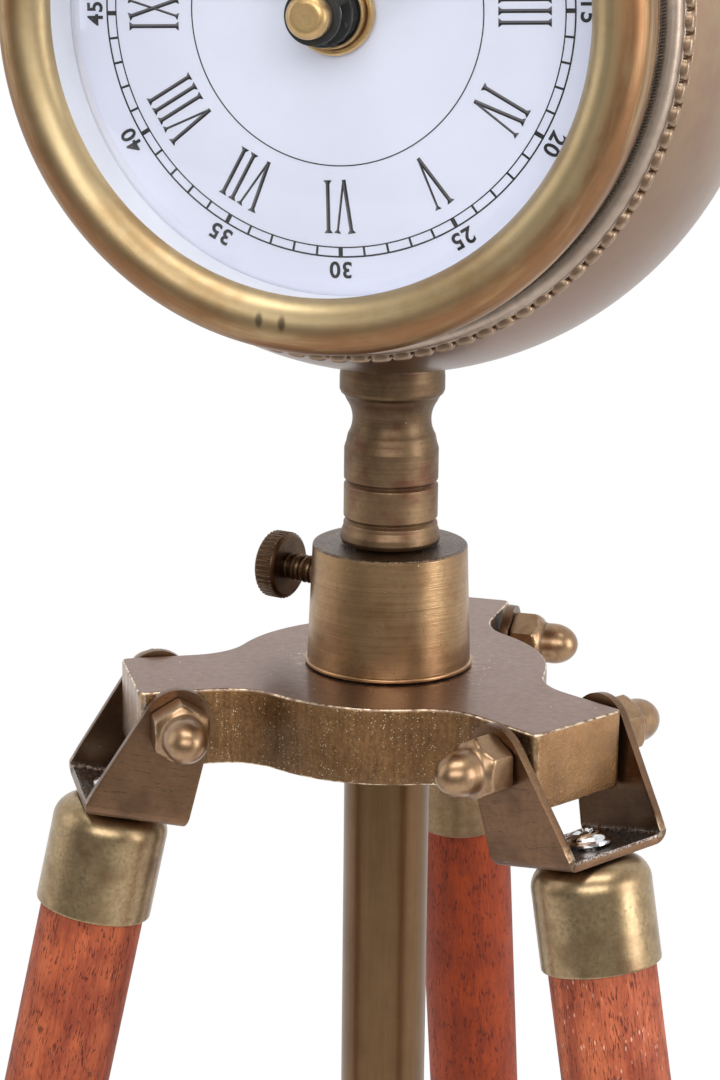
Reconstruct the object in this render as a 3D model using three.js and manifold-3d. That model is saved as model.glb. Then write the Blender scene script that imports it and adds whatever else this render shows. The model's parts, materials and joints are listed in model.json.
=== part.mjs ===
// A round brass desk clock on a folding wooden tripod: a quartz movement in a barrel-shaped
// case, on a turned neck that slides and turns in the socket of a three-armed plate.
// Millimetres. +Z is up, the dial faces -Y, and one of the three legs points straight back.
import * as THREE from "three";
import { mergeVertices } from "three/addons/utils/BufferGeometryUtils.js";
import Module from "manifold-3d";

const wasm = await Module();
wasm.setup();

// Clearance between two pieces that touch on the real object.
const GAP = 0.3;
// How far a cutter, or a piece that is joined on, reaches past the face that it meets.
const PAST = 1;

// Heights are measured from the top of the tripod plate until the whole clock is set on the floor.
const PLATE = { thickness: 11.2, discRadius: 23.3, armHalfWidth: 8.2, armEnd: 38.4, fillet: 4.5 };
const SOCKET = { height: 18.1, topRadius: 11.3, footRadius: 12.0, chamfer: 0.5 };
const SEAM = { radius: 12.3, height: 0.7, slope: 0.2 };
const ROD = { radius: 4.9, length: 112, intoNeck: 9 };
const TUBE = { bore: 5.3, wall: 1.05, length: 118 };

// The clamping screw in the side of the socket, its azimuth counted from the front towards the right.
const THUMB = { azimuth: -105, height: 11.9, headRadius: 5.1, headThickness: 3.4, standOff: 5.5 };
const THUMB_THREAD = { radius: 2.1, chamfer: 0.5 };
const THUMB_NOTCHES = { count: 24, depth: 0.25 };

// Turned neck: heights above its foot, and radii, from the socket to the collar under the case.
const NECK = { length: 25.4, foot: 7.3, body: 6.85, groove: 6.3, waist: 5.8, collar: 7.6, spigot: 3.0 };
const NECK_LEVELS = { flare: 2.5, groove1: 3.4, groove2: 9.0, shoulder: 14.8, waist: 18.4, ridge: 22.6 };
const GROOVE_HALF = 0.45;
// Each edge of the neck eases by so much across, over so much of its length.
const NECK_EASE = {
  foot: [0.3, 0.5],
  shoulder: [0.25, 1.0],
  waistBelow: [0.25, 2.0],
  waistAbove: [0.35, 1.8],
  ridge: [0.4, 0.6],
};
const STEM_NUT = { acrossFlats: 10, thickness: 3.2 };

// Head: the axis of the drum is level and runs front to back through the mast's axis.
const CASE = { radius: 51.5, endRadius: 46.2, halfLength: 24.2, wall: 1.2 };
const LIP = { radius: 41.5, front: 9, rear: 4.8 };
const DIAL = { ahead: 4.2, thickness: 1.0, seat: 1.5 };
const SPACER = { inner: 36.9, outer: 39.1, depth: 6.9 };
const GLASS = { thickness: 1.2, rise: 6.2, domeRadius: 35.2, lap: 0.5 };
const BEZEL = { rollRadius: 4.2, rollCentre: 39.9, rollBehindGlass: 0.8, skirtRadius: 43.1, lap: 0.6 };
// The bezel's roll goes round from its edge over the glass to its skirt, in degrees from outwards.
const ROLL = { from: -165, to: 40 };
const KNURL = { width: 2.9, tip: 43.7, root: 43.1, teeth: 72 };
const BEADS = { width: 3.9, tip: 46.6, root: 45.7, groove: 45.0, rowWidth: 1.9, count: 60, margin: 0.1 };
const BAND_SHOULDER = { radius: 44.9, across: 1.0, along: 0.9 };
const COVER = { skirtRadius: 43.4, depth: 6.5, crown: 3.0, crownInset: 1.0, thickness: 1.2, edge: 0.8 };
const COVER_RIM = { radius: 44.2, width: 1.6, slope: 0.6 };

// Legs: the pivot bolt lies across the end of each arm, and the leg hangs off it on a U bracket.
const SPLAY = 12;
const PIVOT = { reach: 33.0, below: 4.8, studRadius: 1.9 };
const BRACKET = { sheet: 1.3, play: 0.4, drop: 15.2, inner: 4.5, outer: 10.6, bend: 1.8 };
// The ear round the pivot, and the angles, from outwards, at which its round meets its sides.
const EAR = { radius: 5.0, lift: 0.5, from: 24, to: 188 };
const BRACKET_FOOT = 2;
const LEG_OFFSET = 4.6;
const WOOD = { radius: 7.6, length: 181 };
const FERRULE = { wall: 0.55, length: 15.0, top: 1.5, shoulder: 3.6 };
const FOOT = { cup: 12, plug: 3.0, flat: 0.8 };
const LEG_SCREW = { headRadius: 3.3, headHeight: 2.2, shankRadius: 1.5, length: 15, point: 2 };
const SCREW_CROWN = { from: 0.5, share: 0.75, below: 0.2 };
const SCREW_SLOT = { width: 0.9, depth: 0.9, share: 0.6 };
const CAP_NUT = { acrossFlats: 7.8, hex: 4.6, dome: 3.15, length: 10.1, bore: 5.2 };
const LEGS = [
  { name: "right", azimuth: 60 },
  { name: "left", azimuth: -60 },
  { name: "back", azimuth: 180 },
];

// Quartz movement, a square box behind the dial, with its own wheels.
const MOVEMENT = { half: 28, corner: 4, wall: 1.2, trayDepth: 6.6, depth: 14.6, endWall: 1.0 };
const BUSHING = { radius: 4.0, bore: 2.9, length: 4.4 };
const FIXING_NUT = { radius: 5.55, base: 1.2, wall: 0.4, height: 2.6, chamfer: 0.4 };
const PIPE = { radius: 2.5, bore: 1.5, ahead: 0.4 };
const ARBOR = 1.2;
const PIVOT_PIN = 0.6;
const HOUR_HAND = { rise: 6.2, thickness: 0.6, hub: 4.2, length: 19, width: 3.6, angle: 305 };
const MINUTE_HAND = { rise: 9.8, thickness: 0.6, hub: 3.9, length: 27.5, width: 3.0, angle: 60 };
// A blade's half widths as shares of its width, and their places as shares of its length.
const BLADE = { root: 0.22, neck: 0.16, neckAt: 0.55, leaf: 0.5, leafAt: 0.68, tip: 0.12, tipAt: 0.82 };
const HAND_CAP = { radius: 2.85, height: 2.5, flat: 1.9, socket: 1.6, slope: 1.0 };
const BATTERY = { radius: 7.1, length: 49.2, nub: 1.3, nubRadius: 2.7, play: 0.5 };
const CONTACT = { thickness: 0.4, halfWidth: 5 };
const KNOB = { radius: 5.5, thickness: 3.2, notches: 18, shaft: 1.0 };
const WHEEL = 1.1;
// Depth of a wheel's teeth, and how many there are for each millimetre of its radius.
const TOOTH = { depth: 0.4, density: 3 };
// Each pair of wheels by the distance between its arbors and the turns that its pinion makes for one
// turn of its wheel: the motion work down to the hour hand, and the going train up to the rotor.
const GEARS = {
  minute: { distance: 8.1, ratio: 3 },
  hour: { distance: 8.1, ratio: 4 },
  third: { distance: 8.5, ratio: 8 },
  second: { distance: 7.3, ratio: 7.5 },
  intermediate: { distance: 6.8, ratio: 6 },
  rotor: { distance: 6.2, ratio: 5 },
};
const ROTOR = { radius: 2.6, length: 2.4 };
const COIL = { radius: 2.5, left: -4, right: 11, height: 20 };
const STATOR = { left: -6, right: 22, bottom: 13.6, top: 26, thickness: 0.8, behind: 1.4, corner: 1.5 };
const BOARD = { left: -26, right: -8, bottom: 10, top: 26, thickness: 0.8, stand: 2.3 };
const POST = { radius: 1.2, margin: 0.5 };

// Sides of the large, middling and small turned pieces.
const BIG = 32;
const MID = 20;
const ROUND_LEG = 16;
const SMALL = 12;
const TINY = 8;

// Places that follow from the sizes above.
const neckFoot = SOCKET.height + GAP;
const caseUnderside = neckFoot + NECK.length + GAP;
const headHeight = caseUnderside + CASE.radius;
const lipInner = LIP.radius - CASE.wall;
const sleeveBore = LIP.radius + GAP;
const dialFront = -CASE.halfLength - DIAL.ahead;
const dialBack = dialFront + DIAL.thickness;
const dialRadius = lipInner - GAP;
const spacerBack = dialFront - GAP;
const spacerFront = spacerBack - SPACER.depth;
const glassBack = spacerFront - GAP;
const lipBack = glassBack - GLASS.thickness - GAP;
const rollPlane = lipBack + BEZEL.rollBehindGlass;
const bandBack = -CASE.halfLength - GAP;
const bandFront = bandBack - BEADS.width;
const knurlFront = bandFront - GAP - KNURL.width;
const bezelRear = knurlFront - GAP;
const bracketHalf = PLATE.armHalfWidth + BRACKET.play + BRACKET.sheet;
const legTop = -BRACKET.drop - GAP;
const woodTop = legTop - FERRULE.top - GAP;
const woodBottom = woodTop - WOOD.length;
const ferruleRadius = WOOD.radius + GAP + FERRULE.wall;
const movementFront = dialBack + GAP;
const movementFloor = movementFront + MOVEMENT.wall;
const movementSeam = movementFront + MOVEMENT.trayDepth;
const movementBack = movementFront + MOVEMENT.depth;
const arborBack = movementBack - MOVEMENT.wall - GAP;
const batteryY = movementFloor + BATTERY.play + BATTERY.radius;
const batteryZ = MOVEMENT.wall + BATTERY.play + BATTERY.radius - MOVEMENT.half;
const divider = batteryZ + BATTERY.radius + BATTERY.play + MOVEMENT.wall;
const bayEnd = MOVEMENT.half - MOVEMENT.endWall - GAP;
const hourPlane = dialFront - HOUR_HAND.rise;
const minutePlane = dialFront - MINUTE_HAND.rise;
const capBack = minutePlane - GAP;

const finish = (color, roughness, metalness) =>
  new THREE.MeshStandardMaterial({ color, roughness, metalness });
const MATERIALS = {
  antiqueBrass: finish(0x8a7350, 0.42, 0.9),
  polishedBrass: finish(0xb08a4a, 0.3, 0.95),
  darkBrass: finish(0x3c3226, 0.7, 0.6),
  plateBrass: finish(0x80694e, 0.5, 0.85),
  wood: finish(0xa8502f, 0.6, 0.0),
  chrome: finish(0xc9cbce, 0.15, 1.0),
  steel: finish(0xa4a6a8, 0.35, 1.0),
  glass: new THREE.MeshStandardMaterial({
    color: 0xf2f6f7,
    roughness: 0.05,
    transparent: true,
    opacity: 0.2,
  }),
  dialWhite: finish(0xe9ebf2, 0.6, 0.0),
  handBlack: finish(0x1d1d1f, 0.4, 0.3),
  plasticBlack: finish(0x18181a, 0.5, 0.0),
  plasticWhite: finish(0xe6e4dc, 0.5, 0.0),
  copper: finish(0xa5572c, 0.4, 0.8),
  circuitGreen: finish(0x2c5a3a, 0.6, 0.0),
  batteryJacket: finish(0x33383d, 0.35, 0.2),
};

const radians = THREE.MathUtils.degToRad;

// Points of a circular arc, angles in degrees.
function arc(cx, cy, radius, from, to, steps) {
  return Array.from({ length: steps + 1 }, (_, i) => {
    const a = radians(from + ((to - from) * i) / steps);
    return [cx + radius * Math.cos(a), cy + radius * Math.sin(a)];
  });
}

// A circular arc through the ends (r0, h0) and (r1, h1) of a bulge that rises by `rise` to the right.
function bulge([x0, y0], [x1, y1], rise, steps) {
  const half = Math.hypot(x1 - x0, y1 - y0) / 2;
  const radius = (half * half + rise * rise) / (2 * rise);
  const spread = Math.asin(half / radius);
  const mid = new THREE.Vector2((x0 + x1) / 2, (y0 + y1) / 2);
  const along = new THREE.Vector2(x1 - x0, y1 - y0).normalize();
  const out = new THREE.Vector2(along.y, -along.x);
  return Array.from({ length: steps + 1 }, (_, i) => {
    const a = -spread + (2 * spread * i) / steps;
    const s = radius * Math.sin(a);
    const t = radius * Math.cos(a) - (radius - rise);
    return [mid.x + along.x * s + out.x * t, mid.y + along.y * s + out.y * t];
  });
}

function signedArea(points) {
  return points.reduce((sum, [x, y], i) => {
    const [u, v] = points[(i + 1) % points.length];
    return sum + x * v - u * y;
  }, 0);
}

// A profile of [radius, height] points turned about the Y axis.
function turnedY(profile, segments) {
  const points = signedArea(profile) < 0 ? [...profile].reverse() : [...profile];
  const onAxis = (p) => Math.abs(p[0]) < 1e-9;
  if (points.some(onAxis)) {
    // Starts and ends on the axis: the list is turned until its two axis points are its ends.
    while (!(onAxis(points[0]) && onAxis(points[points.length - 1]))) points.push(points.shift());
  } else {
    points.push(points[0]);
  }
  return new THREE.LatheGeometry(
    points.map(([r, h]) => new THREE.Vector2(r, h)),
    segments,
  );
}

// The same about the Z axis, heights upwards, and about the X axis, heights to the right.
const turnedZ = (profile, segments) => turnedY(profile, segments).rotateX(Math.PI / 2);
const turnedX = (profile, segments) => turnedY(profile, segments).rotateZ(-Math.PI / 2);

// Plain round bars along each axis, from one height to another.
const bar = (radius, from, to) => [[0, from], [radius, from], [radius, to], [0, to]];
const rodX = (radius, from, to, segments) => turnedX(bar(radius, from, to), segments);
const rodY = (radius, from, to, segments) => turnedY(bar(radius, from, to), segments);
const rodZ = (radius, from, to, segments) => turnedZ(bar(radius, from, to), segments);

function shapeOf(points) {
  return new THREE.Shape(points.map(([x, y]) => new THREE.Vector2(x, y)));
}

function circle(radius, segments, x = 0, y = 0) {
  return arc(x, y, radius, 0, 360, segments).slice(0, -1);
}

// A shape drawn in X and Z, seen from the front, extruded from y0 back to y1.
function slabY(points, y0, y1, holes = []) {
  const shape = shapeOf(points);
  shape.holes = holes.map((hole) => new THREE.Path(hole.map(([x, y]) => new THREE.Vector2(x, y))));
  return new THREE.ExtrudeGeometry(shape, { depth: y1 - y0, bevelEnabled: false })
    .rotateX(Math.PI / 2)
    .translate(0, y1, 0);
}

// A shape drawn in X and Y, extruded from z0 up to z1.
function slabZ(points, z0, z1) {
  const settings = { depth: z1 - z0, bevelEnabled: false };
  return new THREE.ExtrudeGeometry(shapeOf(points), settings).translate(0, 0, z0);
}

function box(x0, x1, y0, y1, z0, z1) {
  const block = new THREE.BoxGeometry(x1 - x0, y1 - y0, z1 - z0);
  return block.translate((x0 + x1) / 2, (y0 + y1) / 2, (z0 + z1) / 2);
}

function roundedSquare(x0, x1, z0, z1, corner, steps) {
  return [
    ...arc(x1 - corner, z1 - corner, corner, 0, 90, steps),
    ...arc(x0 + corner, z1 - corner, corner, 90, 180, steps),
    ...arc(x0 + corner, z0 + corner, corner, 180, 270, steps),
    ...arc(x1 - corner, z0 + corner, corner, 270, 360, steps),
  ];
}

function hexagon(acrossFlats) {
  return circle(acrossFlats / Math.sqrt(3), 6);
}

// An outline whose radius goes back and forth between root and tip, one pointed tooth after another.
function toothed(root, tip, count) {
  const step = Math.PI / count;
  return Array.from({ length: 2 * count }, (_, i) => {
    const radius = i % 2 ? root : tip;
    return [radius * Math.cos(i * step), radius * Math.sin(i * step)];
  });
}

function solidOf(geometry) {
  const flat = geometry.clone();
  flat.deleteAttribute("normal");
  flat.deleteAttribute("uv");
  const merged = mergeVertices(flat, 1e-4);
  const index = merged.index.array;
  const triVerts = [];
  for (let i = 0; i < index.length; i += 3) {
    const [a, b, c] = [index[i], index[i + 1], index[i + 2]];
    if (a !== b && b !== c && a !== c) triVerts.push(a, b, c);
  }
  return new wasm.Manifold(
    new wasm.Mesh({
      numProp: 3,
      vertProperties: merged.attributes.position.array,
      triVerts: new Uint32Array(triVerts),
    }),
  );
}

function geometryOf(solid) {
  const mesh = solid.getMesh();
  const geometry = new THREE.BufferGeometry();
  geometry.setAttribute("position", new THREE.BufferAttribute(Float32Array.from(mesh.vertProperties), 3));
  geometry.setIndex(new THREE.BufferAttribute(Uint32Array.from(mesh.triVerts), 1));
  geometry.computeVertexNormals();
  return geometry;
}

const join = (...geometries) => geometryOf(geometries.map(solidOf).reduce((a, b) => a.add(b)));
const cut = (body, ...tools) => geometryOf(tools.map(solidOf).reduce((a, b) => a.subtract(b), solidOf(body)));
const common = (a, b) => geometryOf(solidOf(a).intersect(solidOf(b)));

function add(group, name, geometry, material) {
  const mesh = new THREE.Mesh(geometry, material);
  mesh.name = name;
  group.add(mesh);
}

// Tripod plate: a disc with three arms, and a fillet where each arm leaves the disc.
function plateOutline() {
  const { discRadius, armHalfWidth, armEnd, fillet } = PLATE;
  const reach = discRadius + fillet;
  const across = armHalfWidth + fillet;
  const along = Math.sqrt(reach * reach - across * across);
  const onDisc = THREE.MathUtils.radToDeg(Math.atan2(across, along));
  const points = [];
  for (const { azimuth } of [...LEGS].sort((a, b) => a.azimuth - b.azimuth)) {
    const turn = azimuth - 90;
    const rotated = ([u, v]) => {
      const a = radians(turn);
      return [u * Math.cos(a) - v * Math.sin(a), u * Math.sin(a) + v * Math.cos(a)];
    };
    const lower = arc(along, -across, fillet, 180 - onDisc, 90, 4);
    const upper = arc(along, across, fillet, 270, 180 + onDisc, 4);
    points.push(...lower.map(rotated), rotated([armEnd, -armHalfWidth]), rotated([armEnd, armHalfWidth]));
    points.push(...upper.map(rotated));
    points.push(...arc(0, 0, discRadius, turn + onDisc + 12, turn + 120 - onDisc - 12, 4));
  }
  return points;
}

function tripodPlate() {
  const bore = rodZ(TUBE.bore + TUBE.wall + GAP, -2 * PLATE.thickness, PLATE.thickness, MID);
  const reach = 2 * PLATE.armHalfWidth;
  const pivotBores = LEGS.map(({ azimuth }) =>
    rodY(PIVOT.studRadius + GAP, -reach, reach, SMALL)
      .translate(PIVOT.reach, 0, -PIVOT.below)
      .rotateZ(radians(azimuth - 90)),
  );
  return cut(slabZ(plateOutline(), -PLATE.thickness, 0), bore, ...pivotBores);
}

function socket() {
  const { height, topRadius, footRadius, chamfer } = SOCKET;
  const bore = ROD.radius + GAP;
  const body = turnedZ(
    [
      [bore, GAP],
      [SEAM.radius, GAP],
      [SEAM.radius, GAP + SEAM.height],
      [footRadius, GAP + SEAM.height + SEAM.slope],
      [topRadius, height - chamfer],
      [topRadius - chamfer, height],
      [bore, height],
    ],
    MID,
  );
  const hole = rodX(THUMB_THREAD.radius + GAP, 0, 2 * SOCKET.footRadius, SMALL);
  return cut(body, hole.rotateZ(radians(THUMB.azimuth - 90)).translate(0, 0, THUMB.height));
}

function centreTube() {
  const { bore, wall, length } = TUBE;
  return turnedZ([[bore, -length], [bore + wall, -length], [bore + wall, 0], [bore, 0]], MID);
}

// Drawn along +X with its tip on the rod, then swung to its azimuth.
function thumbScrew() {
  const { standOff, headThickness, headRadius } = THUMB;
  const { radius, chamfer } = THUMB_THREAD;
  const headAt = SOCKET.footRadius + standOff;
  const tip = ROD.radius + GAP;
  const shank = turnedX(
    [
      [0, tip],
      [radius - chamfer, tip],
      [radius, tip + chamfer],
      [radius, headAt + PAST],
      [0, headAt + PAST],
    ],
    SMALL,
  );
  const { count, depth } = THUMB_NOTCHES;
  const head = slabZ(toothed(headRadius - depth, headRadius, count), 0, headThickness)
    .rotateY(Math.PI / 2)
    .translate(headAt, 0, 0);
  return join(shank, head).rotateZ(radians(THUMB.azimuth - 90)).translate(0, 0, THUMB.height);
}

function mastRod() {
  const top = neckFoot + ROD.intoNeck;
  return rodZ(ROD.radius, top - ROD.length, top, MID);
}

// The barrel of the case set in by `inset`, as [radius, y] points from front to back.
function barrel(inset) {
  const { radius, endRadius, halfLength } = CASE;
  const end = endRadius - inset;
  const half = halfLength - inset;
  return bulge([end, -half], [end, half], radius - endRadius, 5);
}

const onHead = (geometry) => geometry.translate(0, 0, headHeight);

function caseEnvelope(inset) {
  const half = CASE.halfLength - inset;
  return onHead(turnedY([[0, -half], ...barrel(inset), [0, half]], BIG));
}

function neckStem() {
  const { foot, body, groove, waist, collar, spigot } = NECK;
  const level = NECK_LEVELS;
  const ease = NECK_EASE;
  const bore = ROD.radius + GAP;
  const pocket = ROD.intoNeck + GAP;
  const inCase = NECK.length + collar / 2;
  const ring = (z) => [
    [body, z - GROOVE_HALF],
    [groove, z],
    [body, z + GROOVE_HALF],
  ];
  const turned = turnedZ(
    [
      [bore, 0],
      [foot - ease.foot[0], 0],
      [foot, ease.foot[1]],
      [body, level.flare],
      ...ring(level.groove1),
      ...ring(level.groove2),
      [body, level.shoulder - ease.shoulder[1]],
      [body - ease.shoulder[0], level.shoulder],
      [waist + ease.waistBelow[0], level.waist - ease.waistBelow[1]],
      [waist, level.waist],
      [waist + ease.waistAbove[0], level.waist + ease.waistAbove[1]],
      [collar - ease.ridge[0], level.ridge - ease.ridge[1]],
      [collar, level.ridge],
      [collar, inCase],
      [0, inCase],
      [0, pocket],
      [bore, pocket],
    ],
    MID,
  ).translate(0, 0, neckFoot);
  const saddle = cut(turned, caseEnvelope(-GAP));
  const top = caseUnderside + CASE.wall + 2 * GAP + STEM_NUT.thickness + spigot / 2;
  return join(saddle, rodZ(spigot, caseUnderside - 2 * spigot, top, SMALL));
}

// The nut that holds the neck, its underside following the wall that it lies on.
function stemNut() {
  const { acrossFlats, thickness } = STEM_NUT;
  const wall = caseUnderside + CASE.wall;
  const blank = slabZ(hexagon(acrossFlats), wall - PAST, wall + GAP + thickness);
  const bore = rodZ(NECK.spigot + GAP, 0, headHeight, SMALL);
  return cut(common(blank, caseEnvelope(CASE.wall + GAP)), bore);
}

// The shell: a barrel with a thinner lip at each end, and inside the front lip the seat of the dial.
function caseShell() {
  const { halfLength, wall } = CASE;
  const seat = dialBack + GAP;
  const inner = halfLength - wall;
  const shell = onHead(
    turnedY(
      [
        [lipInner, -halfLength - LIP.front],
        [LIP.radius, -halfLength - LIP.front],
        [LIP.radius, -halfLength],
        ...barrel(0),
        [LIP.radius, halfLength],
        [LIP.radius, halfLength + LIP.rear],
        [lipInner, halfLength + LIP.rear],
        [lipInner, inner],
        ...barrel(wall).reverse(),
        [lipInner - DIAL.seat, -inner],
        [lipInner - DIAL.seat, seat],
        [lipInner, seat],
      ],
      BIG,
    ),
  );
  return cut(shell, rodZ(NECK.spigot + GAP, 0, headHeight, SMALL));
}

// A band with a rounded shoulder in front and a row of beads behind it.
function beadedBand() {
  const { root, groove, tip, count, rowWidth, margin } = BEADS;
  const { radius, across, along } = BAND_SHOULDER;
  const band = turnedY(
    [
      [sleeveBore, bandFront],
      [radius - across, bandFront],
      [radius, bandFront + along],
      [groove, bandBack - rowWidth],
      [groove, bandBack],
      [sleeveBore, bandBack],
    ],
    BIG,
  );
  const hole = circle(groove - PAST, BIG);
  const row = slabY(toothed(root, tip, count), bandBack - rowWidth, bandBack - margin, [hole]);
  return onHead(join(band, row));
}

function knurledBand() {
  const { width, tip, root, teeth } = KNURL;
  return onHead(slabY(toothed(root, tip, teeth), knurlFront, knurlFront + width, [circle(sleeveBore, BIG)]));
}

// The rolled rim over the glass, with a bore that slips over the front lip of the case.
function bezelRing() {
  const { rollRadius, rollCentre, skirtRadius, lap } = BEZEL;
  const lipFront = -CASE.halfLength - LIP.front - GAP;
  const profile = [
    ...arc(rollCentre, rollPlane, rollRadius, ROLL.from, ROLL.to, 8),
    [skirtRadius, bezelRear],
    [sleeveBore, bezelRear],
    [sleeveBore, lipFront],
    [SPACER.outer + GAP, lipFront],
    [SPACER.outer + GAP, lipBack],
    [rollCentre - rollRadius + lap, lipBack],
  ];
  return onHead(turnedY(profile, BIG));
}

function domedGlass() {
  const { thickness, rise, domeRadius, lap } = GLASS;
  const front = glassBack - thickness;
  const sphere = (domeRadius * domeRadius + rise * rise) / (2 * rise);
  const spread = THREE.MathUtils.radToDeg(Math.asin(domeRadius / sphere));
  const dome = (shrink) => arc(0, front - rise + sphere, sphere - shrink, -90, -90 + spread, 4);
  const inside = dome(thickness).slice(0, -1).reverse();
  const rim = [[SPACER.outer, front], [SPACER.outer, glassBack], [domeRadius - lap, glassBack]];
  return onHead(turnedY([...dome(0), ...rim, ...inside], BIG));
}

function dialRing() {
  const { inner, outer } = SPACER;
  const profile = [[inner, spacerFront], [outer, spacerFront], [outer, spacerBack], [inner, spacerBack]];
  return onHead(turnedY(profile, BIG));
}

function dialPlate() {
  const hole = BUSHING.radius + GAP;
  const profile = [[hole, dialFront], [dialRadius, dialFront], [dialRadius, dialBack], [hole, dialBack]];
  return onHead(turnedY(profile, BIG));
}

// A push-on cap over the rear lip of the case.
function rearCover() {
  const { skirtRadius, depth, crown, crownInset, thickness, edge } = COVER;
  const { radius, width, slope } = COVER_RIM;
  const front = CASE.halfLength + GAP;
  const back = front + depth;
  const sphere = (skirtRadius * skirtRadius + crown * crown) / (2 * crown);
  const spread = THREE.MathUtils.radToDeg(Math.asin((skirtRadius - crownInset) / sphere));
  const outer = arc(0, back + crown - sphere, sphere, 90 - spread, 90, 3);
  const inner = arc(0, back + crown - sphere, sphere - thickness, 90, 90 - spread + 2, 2);
  return onHead(
    turnedY(
      [
        [sleeveBore, front],
        [radius, front],
        [radius, front + width],
        [skirtRadius, front + width + slope],
        [skirtRadius, back - edge],
        ...outer,
        ...inner,
        [sleeveBore, CASE.halfLength + LIP.rear + GAP],
      ],
      BIG,
    ),
  );
}

// Places of the wheels' arbors, as X and Z from the centre of the dial.
const polar = ([x, z], distance, angle) => [
  x + distance * Math.cos(radians(angle)),
  z + distance * Math.sin(radians(angle)),
];
const PLACES = { centre: [0, 0] };
PLACES.minute = polar(PLACES.centre, GEARS.minute.distance, 180);
PLACES.knob = polar(PLACES.minute, GEARS.minute.distance, 135);
PLACES.third = polar(PLACES.centre, GEARS.third.distance, 20);
PLACES.second = polar(PLACES.third, GEARS.second.distance, 60);
PLACES.intermediate = polar(PLACES.second, GEARS.intermediate.distance, 20);
PLACES.rotor = polar(PLACES.intermediate, GEARS.rotor.distance, 110);

// Radii of a pair's wheel and pinion, which stop short of each other by the clearance.
const wheelOf = ({ distance, ratio }) => (distance * ratio) / (ratio + 1) - GAP / 2;
const pinionOf = ({ distance, ratio }) => distance / (ratio + 1) - GAP / 2;

// Levels of the wheels, as distances behind the inside of the movement's front wall.
const LEVELS = { hour: 0.4, cannon: 2.7, second: 4.6, third: 6.8, centre: 9.2 };
const levelOf = (name) => movementFloor + LEVELS[name];

const at = (geometry, [x, z]) => geometry.translate(x, 0, headHeight + z);

function wheelSlab(radius, level) {
  const front = levelOf(level);
  const count = Math.round(radius * TOOTH.density);
  return slabY(toothed(radius - TOOTH.depth, radius, count), front, front + WHEEL);
}

const arborPin = () => rodY(PIVOT_PIN, movementFloor + GAP, arborBack, TINY);

// A wheel that drives the next pinion, on an arbor whose own pinion the wheel before it drives.
function goingWheel(name, next, level, pinionLevel) {
  const front = levelOf(pinionLevel);
  const pinion = rodY(pinionOf(GEARS[name]), front, front + WHEEL, TINY);
  return at(join(wheelSlab(wheelOf(GEARS[next]), level), pinion, arborPin()), PLACES[name]);
}

const cannonPinion = () => wheelSlab(pinionOf(GEARS.minute), "cannon");

function centreWheel() {
  const arbor = rodY(ARBOR, capBack - HAND_CAP.socket, arborBack, 10);
  return at(join(wheelSlab(wheelOf(GEARS.third), "centre"), cannonPinion(), arbor), PLACES.centre);
}

function minuteWheel() {
  const pinion = rodY(pinionOf(GEARS.hour), levelOf("hour"), levelOf("cannon") + WHEEL, TINY);
  return at(join(wheelSlab(wheelOf(GEARS.minute), "cannon"), pinion, arborPin()), PLACES.minute);
}

function hourWheel() {
  const back = levelOf("hour") + WHEEL;
  const front = hourPlane - PIPE.ahead;
  const pipe = rodY(PIPE.radius, front, back, SMALL);
  const bore = rodY(PIPE.bore, front - PAST, back + PAST, SMALL);
  return at(cut(join(wheelSlab(wheelOf(GEARS.hour), "hour"), pipe), bore), PLACES.centre);
}

function rotor() {
  const front = levelOf("second");
  return at(
    join(
      rodY(ROTOR.radius, front, front + ROTOR.length, SMALL),
      rodY(pinionOf(GEARS.rotor), front, levelOf("centre") + WHEEL, TINY),
      arborPin(),
    ),
    PLACES.rotor,
  );
}

function settingKnob() {
  const { radius, thickness, notches, shaft: shaftRadius } = KNOB;
  const front = movementBack + GAP;
  const disc = slabY(toothed(radius - TOOTH.depth, radius, notches), front, front + thickness);
  const shaft = rodY(shaftRadius, movementFloor + GAP, front + thickness / 2, TINY);
  return at(join(cannonPinion(), shaft, disc), PLACES.knob);
}

// The posts that hold the circuit board and the stator off the movement's front wall.
function movementPosts() {
  const inset = POST.radius + POST.margin;
  const boardPosts = [
    [BOARD.left + inset, BOARD.bottom + inset],
    [BOARD.left + inset, BOARD.top - inset],
    [BOARD.right - inset, BOARD.top - inset],
  ].map((place) => ({ place, height: BOARD.stand - GAP }));
  const statorPosts = [
    [STATOR.left + inset, STATOR.top - inset],
    [STATOR.right - inset, STATOR.top - inset],
  ].map((place) => ({ place, height: LEVELS.second + STATOR.behind - GAP }));
  return [...boardPosts, ...statorPosts].map(({ place: [x, z], height }) =>
    rodY(POST.radius, movementFloor - POST.margin, movementFloor + height, TINY).translate(x, 0, z),
  );
}

// The front half of the movement: a tray, the threaded bushing, and the trough of the battery.
function movementBase() {
  const { half, corner, wall, endWall } = MOVEMENT;
  const square = roundedSquare(-half, half, -half, half, corner, 2);
  const inside = roundedSquare(wall - half, half - wall, wall - half, half - wall, corner - wall, 2);
  const bayEndWall = () =>
    box(half - endWall, half, movementSeam - wall / 2, movementBack, corner - half, divider);
  const shell = join(
    slabY(square, movementFront, movementFloor),
    slabY(square, movementFront + wall / 2, movementSeam, [inside]),
    box(wall / 2 - half, half - wall / 2, movementFloor - wall / 2, movementBack, divider - wall, divider),
    bayEndWall(),
    bayEndWall().translate(endWall - 2 * half, 0, 0),
    rodY(BUSHING.radius, movementFront - BUSHING.length, movementFront + wall / 2, SMALL),
    ...movementPosts(),
  );
  return onHead(cut(shell, rodY(BUSHING.bore, 2 * movementFront, 0, SMALL)));
}

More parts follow.
